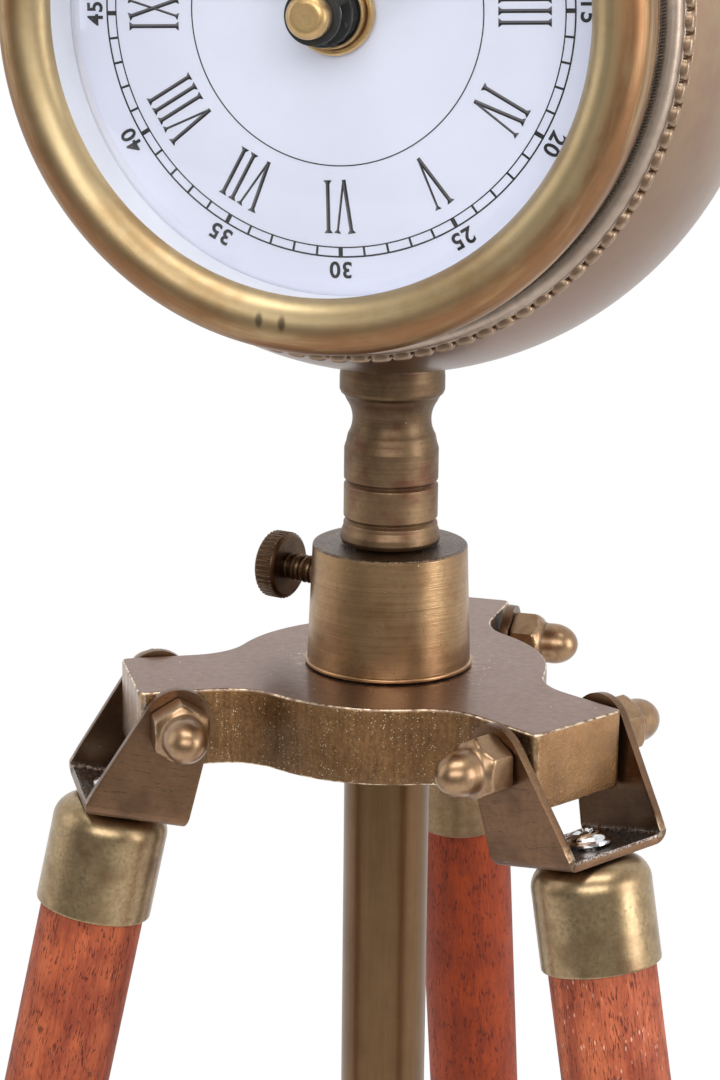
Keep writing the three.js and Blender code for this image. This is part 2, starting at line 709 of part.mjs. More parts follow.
function movementCover() {
  const { half, corner, wall } = MOVEMENT;
  const bottom = divider + GAP;
  const outline = roundedSquare(-half, half, bottom, half, corner, 2);
  const inside = roundedSquare(wall - half, half - wall, bottom + wall, half - wall, corner - wall, 2);
  const lid = join(
    slabY(outline, movementBack - wall, movementBack),
    slabY(outline, movementSeam + GAP, movementBack - wall / 2, [inside]),
  );
  const hole = rodY(KNOB.shaft + GAP, 2 * movementFront, 0, 10).translate(PLACES.knob[0], 0, PLACES.knob[1]);
  return onHead(cut(lid, hole));
}

function fixingNut() {
  const { radius, base, wall, height, chamfer } = FIXING_NUT;
  const back = dialFront - GAP;
  const bore = BUSHING.radius + GAP;
  const profile = [
    [bore, back],
    [radius, back],
    [radius, back - base + chamfer],
    [radius - chamfer, back - base],
    [bore + wall, back - base],
    [bore + wall, back - height],
    [bore, back - height],
  ];
  return onHead(turnedY(profile, SMALL));
}

// A hand: a round hub and a blade with a leaf near its end, seen from the front, clockwise from 12.
function hand({ thickness, hub, length, width, angle }, plane, bore) {
  const edge = [
    [width * BLADE.root, 0],
    [width * BLADE.neck, length * BLADE.neckAt],
    [width * BLADE.leaf, length * BLADE.leafAt],
    [width * BLADE.tip, length * BLADE.tipAt],
  ];
  const blade = [...edge.map(([x, y]) => [-x, y]), [0, length], ...edge.reverse()];
  const back = plane + thickness;
  const flat = join(slabY(blade, plane, back), slabY(circle(hub, MID), plane, back));
  return onHead(cut(flat, rodY(bore, plane - PAST, back + PAST, SMALL)).rotateY(radians(angle)));
}

function handCap() {
  const { radius, height, flat, socket: depth, slope } = HAND_CAP;
  const bore = ARBOR + GAP;
  const profile = [
    [bore, capBack],
    [radius, capBack],
    [radius, capBack - height + slope],
    [flat, capBack - height],
    [0, capBack - height],
    [0, capBack - depth - GAP],
    [bore, capBack - depth - GAP],
  ];
  return onHead(turnedY(profile, SMALL));
}

const inBay = (geometry) => geometry.translate(0, batteryY, headHeight + batteryZ);

function battery() {
  const { radius, length, nub, nubRadius } = BATTERY;
  const right = bayEnd - CONTACT.thickness - GAP;
  const left = right - nub - length;
  const profile = [
    [0, left],
    [radius, left],
    [radius, right - nub],
    [nubRadius, right - nub],
    [nubRadius, right],
    [0, right],
  ];
  return inBay(turnedX(profile, SMALL));
}

// A flat strip at one end of the bay, from x0 to x1.
function contactLeaf(x0, x1) {
  const { halfWidth } = CONTACT;
  return box(x0, x1, -halfWidth, halfWidth, -halfWidth, halfWidth);
}

const contactPositive = () => inBay(contactLeaf(bayEnd - CONTACT.thickness, bayEnd));

// The other strip carries a conical spring that reaches the flat end of the battery.
function contactNegative() {
  const reach = 2 * (bayEnd - GAP) - CONTACT.thickness - BATTERY.nub - BATTERY.length;
  const cone = turnedX([[0, 0], [CONTACT.halfWidth - 1, 0], [CONTACT.halfWidth / 2, reach], [0, reach]], 12);
  return inBay(join(contactLeaf(-bayEnd, CONTACT.thickness - bayEnd), cone.translate(-bayEnd, 0, 0)));
}

function motorCoil() {
  const { radius, left, right, height } = COIL;
  return onHead(rodX(radius, left, right, SMALL).translate(0, movementFloor + GAP + radius, height));
}

function motorStator() {
  const { left, right, bottom, top, thickness, behind, corner } = STATOR;
  const front = levelOf("second") + behind;
  const hole = circle(ROTOR.radius + 2 * GAP, SMALL, ...PLACES.rotor);
  return onHead(slabY(roundedSquare(left, right, bottom, top, corner, 1), front, front + thickness, [hole]));
}

function circuitBoard() {
  const { left, right, bottom, top, thickness, stand: height } = BOARD;
  const front = movementFloor + height;
  return onHead(box(left, right, front, front + thickness, bottom, top));
}

// One leg, in the frame of its pivot: X along the bolt, Y outwards, Z up the leg.
function legBracket() {
  const { sheet, drop, inner, outer, bend } = BRACKET;
  const top = EAR.lift + EAR.radius + PAST;
  const channel = [
    [-bracketHalf, top],
    ...arc(-bracketHalf + bend, -drop + bend, bend, 180, 270, 3),
    ...arc(bracketHalf - bend, -drop + bend, bend, 270, 360, 3),
    [bracketHalf, top],
    [bracketHalf - sheet, top],
    ...arc(bracketHalf - bend, -drop + bend, bend - sheet, 360, 270, 2),
    ...arc(-bracketHalf + bend, -drop + bend, bend - sheet, 270, 180, 2),
    [sheet - bracketHalf, top],
  ];
  const side = [
    [-inner, -drop - PAST],
    [outer, -drop - PAST],
    [outer, -drop + BRACKET_FOOT],
    ...arc(0, EAR.lift, EAR.radius, EAR.from, EAR.to, 8),
  ];
  // The outline of the ears, drawn in Y and Z, extruded across the bracket.
  const across = new THREE.Matrix4().makeBasis(
    new THREE.Vector3(0, 1, 0),
    new THREE.Vector3(0, 0, 1),
    new THREE.Vector3(1, 0, 0),
  );
  const blank = slabZ(side, -2 * bracketHalf, 2 * bracketHalf).applyMatrix4(across);
  const pivotHole = rodX(PIVOT.studRadius + GAP, -2 * bracketHalf, 2 * bracketHalf, SMALL);
  const screwHole = rodZ(LEG_SCREW.shankRadius + GAP, -drop - sheet, -drop + 2 * sheet, SMALL);
  const folded = common(slabY(channel, -inner - EAR.radius, outer + PAST), blank);
  return cut(folded, pivotHole, screwHole.translate(0, LEG_OFFSET, 0));
}

function topFerrule() {
  const { length, top, shoulder } = FERRULE;
  const hole = LEG_SCREW.shankRadius + GAP;
  const bore = WOOD.radius + GAP;
  return turnedZ(
    [
      [hole, legTop],
      ...arc(ferruleRadius - shoulder, legTop - shoulder, shoulder, 90, 0, 3),
      [ferruleRadius, legTop - length],
      [bore, legTop - length],
      [bore, legTop - top],
      [hole, legTop - top],
    ],
    ROUND_LEG,
  ).translate(0, LEG_OFFSET, 0);
}

function woodenLeg() {
  const hole = LEG_SCREW.shankRadius + GAP;
  const deep = -BRACKET.drop - LEG_SCREW.length - GAP;
  const profile = [
    [0, woodBottom],
    [WOOD.radius, woodBottom],
    [WOOD.radius, woodTop],
    [hole, woodTop],
    [hole, deep],
    [0, deep],
  ];
  return turnedZ(profile, ROUND_LEG).translate(0, LEG_OFFSET, 0);
}

// Centre of the foot's round end, along the leg, and the height of the floor that its flat stands on.
const footCentre = woodBottom - GAP - FOOT.plug;
const floorHeight =
  LEG_OFFSET * Math.sin(radians(SPLAY)) +
  footCentre * Math.cos(radians(SPLAY)) -
  ferruleRadius +
  FOOT.flat -
  PIVOT.below;

function legFoot() {
  const bore = WOOD.radius + GAP;
  const step = woodBottom - GAP;
  const round = turnedZ(
    [
      [bore, step + FOOT.cup],
      [ferruleRadius, step + FOOT.cup],
      ...arc(0, footCentre, ferruleRadius, 0, -90, 4),
      [0, step],
      [bore, step],
    ],
    ROUND_LEG,
  ).translate(0, LEG_OFFSET, 0);
  const size = WOOD.length;
  const below = box(-size, size, -size, size, -size, 0)
    .translate(0, 0, floorHeight + PIVOT.below)
    .rotateX(radians(-SPLAY));
  return cut(round, below);
}

function legScrew() {
  const { headRadius, headHeight: thickness, shankRadius, length, point } = LEG_SCREW;
  const seat = -BRACKET.drop + BRACKET.sheet + GAP;
  const top = seat + thickness;
  const tip = -BRACKET.drop - length;
  const screw = turnedZ(
    [
      [0, tip],
      [shankRadius, tip + point],
      [shankRadius, seat],
      [headRadius, seat],
      [headRadius, seat + thickness * SCREW_CROWN.from],
      [headRadius * SCREW_CROWN.share, top - SCREW_CROWN.below],
      [0, top],
    ],
    SMALL,
  );
  const reach = headRadius * SCREW_SLOT.share;
  const halfSlot = SCREW_SLOT.width / 2;
  const floor = top - SCREW_SLOT.depth;
  const crossed = cut(
    screw,
    box(-reach, reach, -halfSlot, halfSlot, floor, top + PAST),
    box(-halfSlot, halfSlot, -reach, reach, floor, top + PAST),
  );
  return crossed.translate(0, LEG_OFFSET, 0);
}

function pivotBolt() {
  const end = bracketHalf + CAP_NUT.bore - GAP;
  return rodX(PIVOT.studRadius, -end, end, SMALL);
}

function capNut(side) {
  const { acrossFlats, hex, dome, length, bore } = CAP_NUT;
  const seat = bracketHalf + GAP;
  const prism = slabZ(hexagon(acrossFlats), 0, hex);
  const cap = turnedZ(
    [[0, hex - PAST], [dome, hex - PAST], [dome, length - dome], ...arc(0, length - dome, dome, 30, 90, 2)],
    SMALL,
  );
  const hole = rodZ(PIVOT.studRadius + GAP, -PAST, bore, SMALL);
  const nut = cut(join(prism, cap), hole).rotateY(Math.PI / 2).translate(seat, 0, 0);
  return side > 0 ? nut : nut.rotateZ(Math.PI);
}

function buildLeg(stand, { name, azimuth }) {
  const arm = new THREE.Group();
  arm.rotation.z = radians(azimuth - 180);
  const pivot = new THREE.Group();
  pivot.position.set(0, PIVOT.reach, -PIVOT.below);
  const swing = new THREE.Group();
  swing.rotation.x = radians(SPLAY);
  add(pivot, `pivot_bolt_${name}`, pivotBolt(), MATERIALS.steel);
  add(pivot, `cap_nut_${name}_a`, capNut(1), MATERIALS.antiqueBrass);
  add(pivot, `cap_nut_${name}_b`, capNut(-1), MATERIALS.antiqueBrass);
  add(swing, `leg_bracket_${name}`, legBracket(), MATERIALS.antiqueBrass);
  add(swing, `leg_screw_${name}`, legScrew(), MATERIALS.chrome);
  add(swing, `top_ferrule_${name}`, topFerrule(), MATERIALS.antiqueBrass);
  add(swing, `wooden_leg_${name}`, woodenLeg(), MATERIALS.wood);
  add(swing, `foot_${name}`, legFoot(), MATERIALS.antiqueBrass);
  pivot.add(swing);
  arm.add(pivot);
  stand.add(arm);
}

function buildStand(stand) {
  add(stand, "tripod_plate", tripodPlate(), MATERIALS.plateBrass);
  add(stand, "socket", socket(), MATERIALS.antiqueBrass);
  add(stand, "centre_tube", centreTube(), MATERIALS.antiqueBrass);
  add(stand, "thumb_screw", thumbScrew(), MATERIALS.antiqueBrass);
  add(stand, "mast_rod", mastRod(), MATERIALS.antiqueBrass);
  LEGS.forEach((leg) => buildLeg(stand, leg));
}

function buildHead(stand) {
  add(stand, "neck_stem", neckStem(), MATERIALS.antiqueBrass);
  add(stand, "stem_nut", stemNut(), MATERIALS.steel);
  add(stand, "case_shell", caseShell(), MATERIALS.antiqueBrass);
  add(stand, "beaded_band", beadedBand(), MATERIALS.antiqueBrass);
  add(stand, "knurled_band", knurledBand(), MATERIALS.darkBrass);
  add(stand, "bezel_ring", bezelRing(), MATERIALS.polishedBrass);
  add(stand, "glass", domedGlass(), MATERIALS.glass);
  add(stand, "dial_ring", dialRing(), MATERIALS.dialWhite);
  add(stand, "dial_plate", dialPlate(), MATERIALS.dialWhite);
  add(stand, "rear_cover", rearCover(), MATERIALS.antiqueBrass);
}

function buildMovement(stand) {
  add(stand, "movement_base", movementBase(), MATERIALS.plasticBlack);
  add(stand, "movement_cover", movementCover(), MATERIALS.plasticBlack);
  add(stand, "fixing_nut", fixingNut(), MATERIALS.polishedBrass);
  add(stand, "circuit_board", circuitBoard(), MATERIALS.circuitGreen);
  add(stand, "motor_coil", motorCoil(), MATERIALS.copper);
  add(stand, "motor_stator", motorStator(), MATERIALS.steel);
  add(stand, "rotor", rotor(), MATERIALS.steel);
  const intermediate = goingWheel("intermediate", "rotor", "centre", "second");
  add(stand, "intermediate_wheel", intermediate, MATERIALS.plasticWhite);
  add(stand, "second_wheel", goingWheel("second", "intermediate", "second", "third"), MATERIALS.plasticWhite);
  add(stand, "third_wheel", goingWheel("third", "second", "third", "centre"), MATERIALS.plasticWhite);
  add(stand, "centre_wheel", centreWheel(), MATERIALS.plasticWhite);
  add(stand, "minute_wheel", minuteWheel(), MATERIALS.plasticWhite);
  add(stand, "hour_wheel", hourWheel(), MATERIALS.plasticWhite);
  add(stand, "setting_knob", settingKnob(), MATERIALS.plasticBlack);
  add(stand, "battery", battery(), MATERIALS.batteryJacket);
  add(stand, "contact_positive", contactPositive(), MATERIALS.steel);
  add(stand, "contact_negative", contactNegative(), MATERIALS.steel);
  add(stand, "hour_hand", hand(HOUR_HAND, hourPlane, PIPE.radius + GAP), MATERIALS.handBlack);
  add(stand, "minute_hand", hand(MINUTE_HAND, minutePlane, ARBOR + GAP), MATERIALS.handBlack);
  add(stand, "hand_cap", handCap(), MATERIALS.polishedBrass);
}

const clock = new THREE.Group();
const stand = new THREE.Group();
clock.add(stand);
buildStand(stand);
buildHead(stand);
buildMovement(stand);

// The clock stands on the floor, over the middle of its own footprint.
stand.position.z = -floorHeight;
clock.updateMatrixWorld(true);
stand.position.y = -new THREE.Box3().setFromObject(clock, true).getCenter(new THREE.Vector3()).y;

export default clock;
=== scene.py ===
"""A round brass desk clock on a folding wooden tripod, dressed as it looks in a studio.

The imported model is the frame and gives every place. Sizes are in millimetres, as a maker writes
them: a piece is built in its own frame, with Z along the axis that it was turned about, and is
then set in the row frame, in metres.
"""
import json
import logging
import math
from collections.abc import Callable, Iterable, Sequence
from dataclasses import dataclass, field
from enum import Enum

import bmesh
import bpy
from mathutils import Matrix, Vector


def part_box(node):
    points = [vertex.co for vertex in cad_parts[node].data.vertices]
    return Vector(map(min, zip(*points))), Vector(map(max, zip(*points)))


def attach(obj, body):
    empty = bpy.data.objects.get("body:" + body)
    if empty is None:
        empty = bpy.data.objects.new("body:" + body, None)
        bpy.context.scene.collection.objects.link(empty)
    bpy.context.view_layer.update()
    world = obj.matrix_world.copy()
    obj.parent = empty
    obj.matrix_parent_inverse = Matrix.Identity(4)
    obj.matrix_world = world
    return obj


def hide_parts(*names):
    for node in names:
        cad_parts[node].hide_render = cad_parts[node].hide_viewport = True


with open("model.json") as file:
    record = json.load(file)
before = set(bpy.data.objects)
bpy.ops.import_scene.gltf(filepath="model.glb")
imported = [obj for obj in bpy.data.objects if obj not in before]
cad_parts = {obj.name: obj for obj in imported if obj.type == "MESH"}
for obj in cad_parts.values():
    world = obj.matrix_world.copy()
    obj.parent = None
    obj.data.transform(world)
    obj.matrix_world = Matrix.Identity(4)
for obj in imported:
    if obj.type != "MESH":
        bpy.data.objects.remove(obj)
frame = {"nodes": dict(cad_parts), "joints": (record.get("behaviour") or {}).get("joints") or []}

log = logging.getLogger("clock")
MM = 0.001
WHITE = (1.0, 1.0, 1.0, 1.0)
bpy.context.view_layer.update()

Pair = tuple[float, float]
Point = tuple[float, float]
Triple = tuple[float, float, float]
Colour = tuple[float, float, float]
# Radius or X, height or Y, and the fillet where there is one.
Corner = tuple[float, ...]
Mesh = bpy.types.Mesh

# Clearance between pieces that touch.
GAP = 0.3
# How far a support ring lies from a corner, and the run that gets one at each end in any case.
SUPPORT = 0.25
LONG_RUN = 2.5
# In radians, the widest step round a fillet, and the turn that needs no fillet.
ARC_STEP = 0.32
STRAIGHT = 0.02
# The share of a run that a fillet may take.
FILLET_SHARE = 0.48
# Nearer to each other or to the axis than this, points are one.
ON_AXIS = 1e-6
DOUBLE = 1e-4
WELD = 0.0005


class Body(Enum):
    """The moving bodies of the clock."""

    STAND = "stand"
    CLAMP = "clamp"
    MAST = "mast"
    HEAD = "head"
    BACK_COVER = "back_cover"
    MINUTE = "minute_arbor"
    HOUR = "hour_pipe"
    LEG_RIGHT = "leg_right"
    LEG_LEFT = "leg_left"
    LEG_BACK = "leg_back"


class Slot(Enum):
    """Material slots of the record."""

    ANTIQUE = "antique_brass"
    POLISHED = "polished_brass"
    DARK = "dark_brass"
    PLATE = "plate_brass"
    WOOD = "wood"
    CHROME = "chrome"
    GLASS = "glass"
    DIAL = "dial_white"
    BLACK = "hand_black"


class Grain(Enum):
    """Which way the fine marks of a surface run."""

    TURNED = "round the piece's axis"
    ALONG = "along the piece's axis"
    ACROSS = "across the piece, level"
    NONE = "no direction"


class Wire:
    """One output of a node tree, with the arithmetic that masks are written in."""

    def __init__(self, graph: "Graph", socket: bpy.types.NodeSocket) -> None:
        """Keeps the socket and the tree that it belongs to."""
        self.graph = graph
        self.socket = socket

    def __add__(self, other: "Wire | float") -> "Wire":
        """This plus the other."""
        return self.graph.sum("ADD", self, other)

    def __sub__(self, other: "Wire | float") -> "Wire":
        """This minus the other."""
        return self.graph.sum("SUBTRACT", self, other)

    def __rsub__(self, other: float) -> "Wire":
        """The other minus this."""
        return self.graph.sum("SUBTRACT", other, self)

    def __mul__(self, other: "Wire | float") -> "Wire":
        """This times the other."""
        return self.graph.sum("MULTIPLY", self, other)

    __radd__ = __add__
    __rmul__ = __mul__

    def above(self, low: float, high: float) -> "Wire":
        """A soft step: 0 below low, 1 above high."""
        limits = {0: self, 1: low, 2: high}
        return self.graph.wire("ShaderNodeMapRange", limits, interpolation_type="SMOOTHSTEP")

    def spread(self, low: float, high: float) -> "Wire":
        """From 0 to 1 stretched to run from low to high."""
        return self * (high - low) + low


class Graph:
    """A node tree and the one way in which this script adds nodes to it."""

    def __init__(self, tree: bpy.types.NodeTree) -> None:
        """Keeps the tree."""
        self.tree = tree

    @classmethod
    def of_material(cls, name: str) -> "Graph":
        """A new material's empty tree.

        Args:
            name: Name of the material.

        Returns:
            The graph of its nodes.
        """
        material = bpy.data.materials.new(name)
        material.use_nodes = True
        material.node_tree.nodes.clear()
        return cls(material.node_tree)

    def node(self, kind: str, inputs: dict | None = None, **settings: str | bool) -> bpy.types.Node:
        """Adds a node.

        Args:
            kind: Type of the node.
            inputs: Values or wires by the socket's name or number.
            settings: The node's own properties, which are set first.

        Returns:
            The node.
        """
        node = self.tree.nodes.new(kind)
        for title, value in settings.items():
            setattr(node, title, value)
        for key, value in (inputs or {}).items():
            if isinstance(value, Wire):
                self.tree.links.new(value.socket, node.inputs[key])
            else:
                node.inputs[key].default_value = value
        return node

    def wire(
        self, kind: str, inputs: dict | None = None, output: int | str = 0, **settings: str | bool
    ) -> Wire:
        """Adds a node and gives one of its outputs."""
        return Wire(self, self.node(kind, inputs, **settings).outputs[output])

    def sum(self, operation: str, a: Wire | float, b: Wire | float) -> Wire:
        """A Math node on two numbers or wires."""
        return self.wire("ShaderNodeMath", {0: a, 1: b}, operation=operation)

    def blend(self, under: "Wire | Colour", over: "Wire | Colour", share: Wire | float) -> Wire:
        """Lays one colour over another.

        Args:
            under: The colour where share is 0.
            over: The colour where share is 1.
            share: How much of the second shows.

        Returns:
            The mixed colour.
        """
        sockets = {0: share}
        for index, colour in ((6, under), (7, over)):
            sockets[index] = colour if isinstance(colour, Wire) else (*colour, 1.0)
        return self.wire("ShaderNodeMix", sockets, output=2, data_type="RGBA", clamp_factor=True)

    def scaled(self, colour: Wire, amount: Wire) -> Wire:
        """A colour made darker or lighter by a number."""
        factor = self.vector(amount, amount, amount)
        return self.wire("ShaderNodeVectorMath", {0: colour, 1: factor}, operation="MULTIPLY")

    def vector(self, x: Wire | float = 0.0, y: Wire | float = 0.0, z: Wire | float = 0.0) -> Wire:
        """A vector from three numbers."""
        return self.wire("ShaderNodeCombineXYZ", {0: x, 1: y, 2: z})

    def rays(self, *kinds: str) -> list[Wire]:
        """For each kind of ray, 1 where the shader is asked for one of it."""
        node = self.node("ShaderNodeLightPath")
        return [Wire(self, node.outputs[f"Is {kind} Ray"]) for kind in kinds]

    def form(self) -> Wire:
        """Place on the piece in its own frame, in millimetres, as its attribute keeps it."""
        return self.wire("ShaderNodeAttribute", output="Vector", attribute_name="form")

    def place(self) -> Wire:
        """Place in the row frame, in millimetres, for a piece without that attribute."""
        where = self.wire("ShaderNodeTexCoord", output="Object")
        return self.stretch(where, (1 / MM, 1 / MM, 1 / MM))

    def along(self, where: Wire, axis: int) -> Wire:
        """How far along an axis, counted from 0, a place is."""
        return self.wire("ShaderNodeSeparateXYZ", {0: where}, output=axis)

    def height(self, where: Wire) -> Wire:
        """How high along Z a place is."""
        return self.along(where, 2)

    def spot(self, where: Wire, centre: Point, size: Pair) -> Wire:
        """A soft oval spot across X and Y, 1 in its middle.

        Args:
            where: Coordinates in millimetres.
            centre: Its middle.
            size: Its half widths.

        Returns:
            1 in the spot and 0 outside.
        """
        scale = (1.0 / size[0], 1.0 / size[1], 0.0)
        local = self.stretch(where, scale, (-centre[0] / size[0], -centre[1] / size[1], 0.0))
        return 1.0 - self.radius(local).above(0.4, 1.2)

    def radius(self, where: Wire) -> Wire:
        """How far from the Z axis a place is."""
        flat = self.stretch(where, (1.0, 1.0, 0.0))
        return self.wire("ShaderNodeVectorMath", {0: flat}, output="Value", operation="LENGTH")

    def attribute(self, name: str) -> Wire:
        """A number that the mesh holds at each vertex."""
        return self.wire("ShaderNodeAttribute", output="Fac", attribute_name=name)

    def stretch(self, where: Wire, scale: Triple, shift: Triple = (0.0, 0.0, 0.0)) -> Wire:
        """Coordinates scaled along each axis and shifted."""
        return self.wire("ShaderNodeMapping", {"Vector": where, "Location": shift, "Scale": scale})

    def noise(self, where: Wire, size: float, detail: float = 3.0, roughness: float = 0.55) -> Wire:
        """Cloudy noise.

        Args:
            where: Coordinates in millimetres.
            size: Size of its patches, in millimetres.
            detail: Octaves.
            roughness: Weight of the finer octaves.

        Returns:
            Values about 0.5.
        """
        inputs = {"Vector": where, "Scale": 1.0 / size, "Detail": detail, "Roughness": roughness}
        return self.wire("ShaderNodeTexNoise", inputs)

    def specks(self, where: Wire, spacing: float, size: float, share: float) -> Wire:
        """Small round spots strewn over a surface.

        Args:
            where: Coordinates in millimetres.
            spacing: Size of the cells that may each hold one spot.
            size: Radius of a spot, as a share of the cell.
            share: Share of the cells that hold one.

        Returns:
            1 in a spot and 0 outside.
        """
        cells = self.node("ShaderNodeTexVoronoi", {"Vector": where, "Scale": 1.0 / spacing})
        chosen = Wire(self, cells.outputs["Color"]).above(1.0 - share, 1.0 - share + 0.01)
        near = 1.0 - Wire(self, cells.outputs["Distance"]).above(size * 0.5, size)
        return near * chosen

    def marks(self, where: Wire, grain: Grain, spacing: float) -> Wire:
        """Fine parallel marks.

        Args:
            where: Coordinates in millimetres, Z along the piece's axis.
            grain: Which way the marks run.
            spacing: Distance between marks, in millimetres.

        Returns:
            Values about 0.5.
        """
        if grain is Grain.TURNED:
            parts = self.node("ShaderNodeSeparateXYZ", {0: where})
            x, y, z = (Wire(self, parts.outputs[i]) for i in range(3))
            slow = 0.06 * spacing
            run = z + self.radius(where) * 1.3
            where = self.vector(x * slow, y * slow, run)
        elif grain is Grain.ALONG:
            where = self.stretch(where, (1.0, 1.0, 0.06))
        elif grain is Grain.ACROSS:
            where = self.stretch(where, (0.06, 0.06, 1.0))
        return self.noise(where, spacing, detail=2.0, roughness=0.6)

    def bump(self, height: Wire, depth: float) -> Wire:
        """Normals of a relief whose height of 1 is depth millimetres."""
        return self.wire("ShaderNodeBump", {"Strength": 1.0, "Distance": depth * MM, "Height": height})

    def surface(self, sockets: dict) -> None:
        """Joins the Principled shader with these sockets to the output."""
        shader = self.wire("ShaderNodeBsdfPrincipled", sockets)
        self.node("ShaderNodeOutputMaterial", {"Surface": shader})


@dataclass(frozen=True)
class Finish:
    """A finish that makes its material once and then hands out the same one."""

    name: str

    def material(self) -> bpy.types.Material:
        """The finish's material, made on first use.

        Returns:
            The material.
        """
        known = bpy.data.materials.get(self.name)
        if known is None:
            self.paint(Graph.of_material(self.name))
            known = bpy.data.materials[self.name]
        return known

    def paint(self, graph: Graph) -> None:
        """Fills the material's node tree."""
        raise NotImplementedError


@dataclass(frozen=True)
class Brass(Finish):
    """Antiqued brass: bare metal under a brown patina in clouds, with dirt in its hollows."""

    metal: Colour
    patina: Colour
    # Colour of rubbed edges, and also of the painted glints.
    worn: Colour
    grime: Colour = (0.03, 0.022, 0.015)
    cloud: float = 9.0
    cover: float = 0.5
    roughness: float = 0.36
    grain: Grain = Grain.TURNED
    spacing: float = 0.22
    mark_depth: float = 0.006
    contrast: float = 0.16
    mottling: float = 0.4
    pits: float = 0.06
    # Share of cells that hold a painted glint, a pale speck that stands in for sparkle.
    glints: float = 0.03
    wear: float = 0.6
    coat: float = 0.3

    def tint(self, graph: Graph, where: Wire, colour: Wire) -> Wire:
        """Colour that a kind of piece adds of its own; plain brass adds none.

        Args:
            graph: The material's tree.
            where: Place on the piece.
            colour: The colour so far.

        Returns:
            The changed colour.
        """
        return colour

    def relief(self, graph: Graph, where: Wire) -> Wire | None:
        """Relief that a kind of piece adds of its own, in millimetres; plain brass has none."""
        return None

    def paint(self, graph: Graph) -> None:
        """Metal, patina, fine marks, specks, grime in hollows, bright worn edges and painted glints.

        Args:
            graph: The material's tree.
        """
        where = graph.form()
        clouds = graph.noise(where, self.cloud, detail=5.0, roughness=0.6)
        mottle = graph.noise(where, self.cloud * 0.13, detail=4.0)
        fine = graph.noise(where, 0.3, detail=2.0)
        marks = graph.marks(where, self.grain, self.spacing)
        start = 0.58 - self.cover * 0.3
        covered = (clouds * 0.7 + mottle * 0.3).above(start, start + 0.26)
        colour = graph.blend(self.metal, self.patina, covered)
        colour = self.tint(graph, where, colour)
        colour = graph.scaled(colour, mottle.spread(1.0 - self.mottling, 1.0 + self.mottling))
        colour = graph.scaled(colour, marks.spread(1.0 - self.contrast, 1.0 + self.contrast))
        pits = graph.specks(where, 0.55, 0.24, self.pits) + graph.specks(where, 1.6, 0.1, self.pits)
        edge = graph.attribute("wear")
        hollow = (0.0 - edge).above(0.1, 0.8)
        dirt = (hollow * 0.8 + pits * 0.7) * fine.spread(0.5, 1.3)
        colour = graph.blend(colour, self.grime, dirt)
        rubbed = edge.above(0.5, 0.95) * mottle.above(0.36, 0.62) * self.wear
        # Painted glints: pale specks in the worn colour that stand in for sparkle.
        other = graph.stretch(where, (1.0, 1.0, 1.0), (5.0, 3.0, 7.0))
        glints = graph.specks(other, 0.5, 0.26, self.glints)
        colour = graph.blend(colour, self.worn, rubbed + glints)
        rough = (clouds * 0.14 + fine * 0.08) + (self.roughness - 0.11) + dirt * 0.25 - rubbed * 0.08
        relief = marks * self.mark_depth + fine * 0.004 - pits * 0.02
        own = self.relief(graph, where)
        if own is not None:
            relief = relief + own
        graph.surface(
            {
                "Base Color": colour,
                "Metallic": 1.0 - dirt * 0.45,
                "Roughness": rough,
                "Normal": graph.bump(relief, 1.0),
                "Coat Weight": self.coat,
                "Coat Roughness": 0.14,
            }
        )


@dataclass(frozen=True)
class DrumBrass(Brass):
    """The barrel's brass, with painted shade: browner towards its lower side."""

    # Painted shade: the brown laid over the barrel's lower side, which faces down.
    below: Colour = (0.19, 0.108, 0.078)
    fade: Pair = (-4.0, 40.0)

    def tint(self, graph: Graph, where: Wire, colour: Wire) -> Wire:
        """Lays the brown over the lower side as painted shade."""
        return graph.blend(colour, self.below, graph.along(where, 1).above(*self.fade) * 0.85)


@dataclass(frozen=True)
class RolledBrass(Brass):
    """The bezel's brass: redder on its outer side and darker there as painted shade, streaked along the
    ring, with two stains.
    """

    # Redder tone of the outer side; its darkness is painted shade for the dark surroundings that the side
    # reflects.
    outer: Colour = (0.25, 0.122, 0.056)
    turn_start: float = 38.4
    turn_end: float = 41.0
    stains: tuple[Point, ...] = ((-6.2, 38.7), (-3.1, 39.0))
    stain_size: Pair = (0.6, 1.15)

    def tint(self, graph: Graph, where: Wire, colour: Wire) -> Wire:
        """Lays the redder, darker colour over the outer side, its darkness painted shade, and the stains at
        its foot.

        Args:
            graph: The material's tree.
            where: Place on the piece.
            colour: The colour so far.

        Returns:
            The changed colour.
        """
        streak = graph.noise(graph.stretch(where, (0.06, 0.06, 0.9)), 1.0, detail=4.0)
        side = graph.radius(where).above(self.turn_start, self.turn_end)
        # The outer side: its redder hue is the ring's tone, its darkness painted shade.
        colour = graph.blend(colour, self.outer, side * streak.above(0.2, 0.55) * 0.95)
        for stain in self.stains:
            colour = graph.blend(colour, self.grime, graph.spot(where, stain, self.stain_size) * 0.7)
        return colour


@dataclass(frozen=True)
class ToppedBrass(Brass):
    """The socket's brass: the faced top is dark, rough and pitted, with bright grit."""

    top: float = 17.7
    dark: Colour = (0.075, 0.055, 0.045)

    def on_top(self, graph: Graph, where: Wire) -> Wire:
        """1 on the top face."""
        return graph.height(where).above(self.top, self.top + 0.25)

    def tint(self, graph: Graph, where: Wire, colour: Wire) -> Wire:
        """Darkens the top face.

        Args:
            graph: The material's tree.
            where: Place on the piece.
            colour: The colour so far.

        Returns:
            The changed colour.
        """
        on_top = self.on_top(graph, where)
        grit = graph.noise(where, 0.32, detail=3.0).above(0.35, 0.65)
        colour = graph.blend(colour, self.dark, on_top * grit.spread(0.6, 1.0))
        return graph.blend(colour, self.worn, on_top * graph.specks(where, 0.45, 0.25, 0.12))

    def relief(self, graph: Graph, where: Wire) -> Wire:
        """Pits the top face."""
        return graph.noise(where, 0.35, detail=3.0) * self.on_top(graph, where) * 0.16


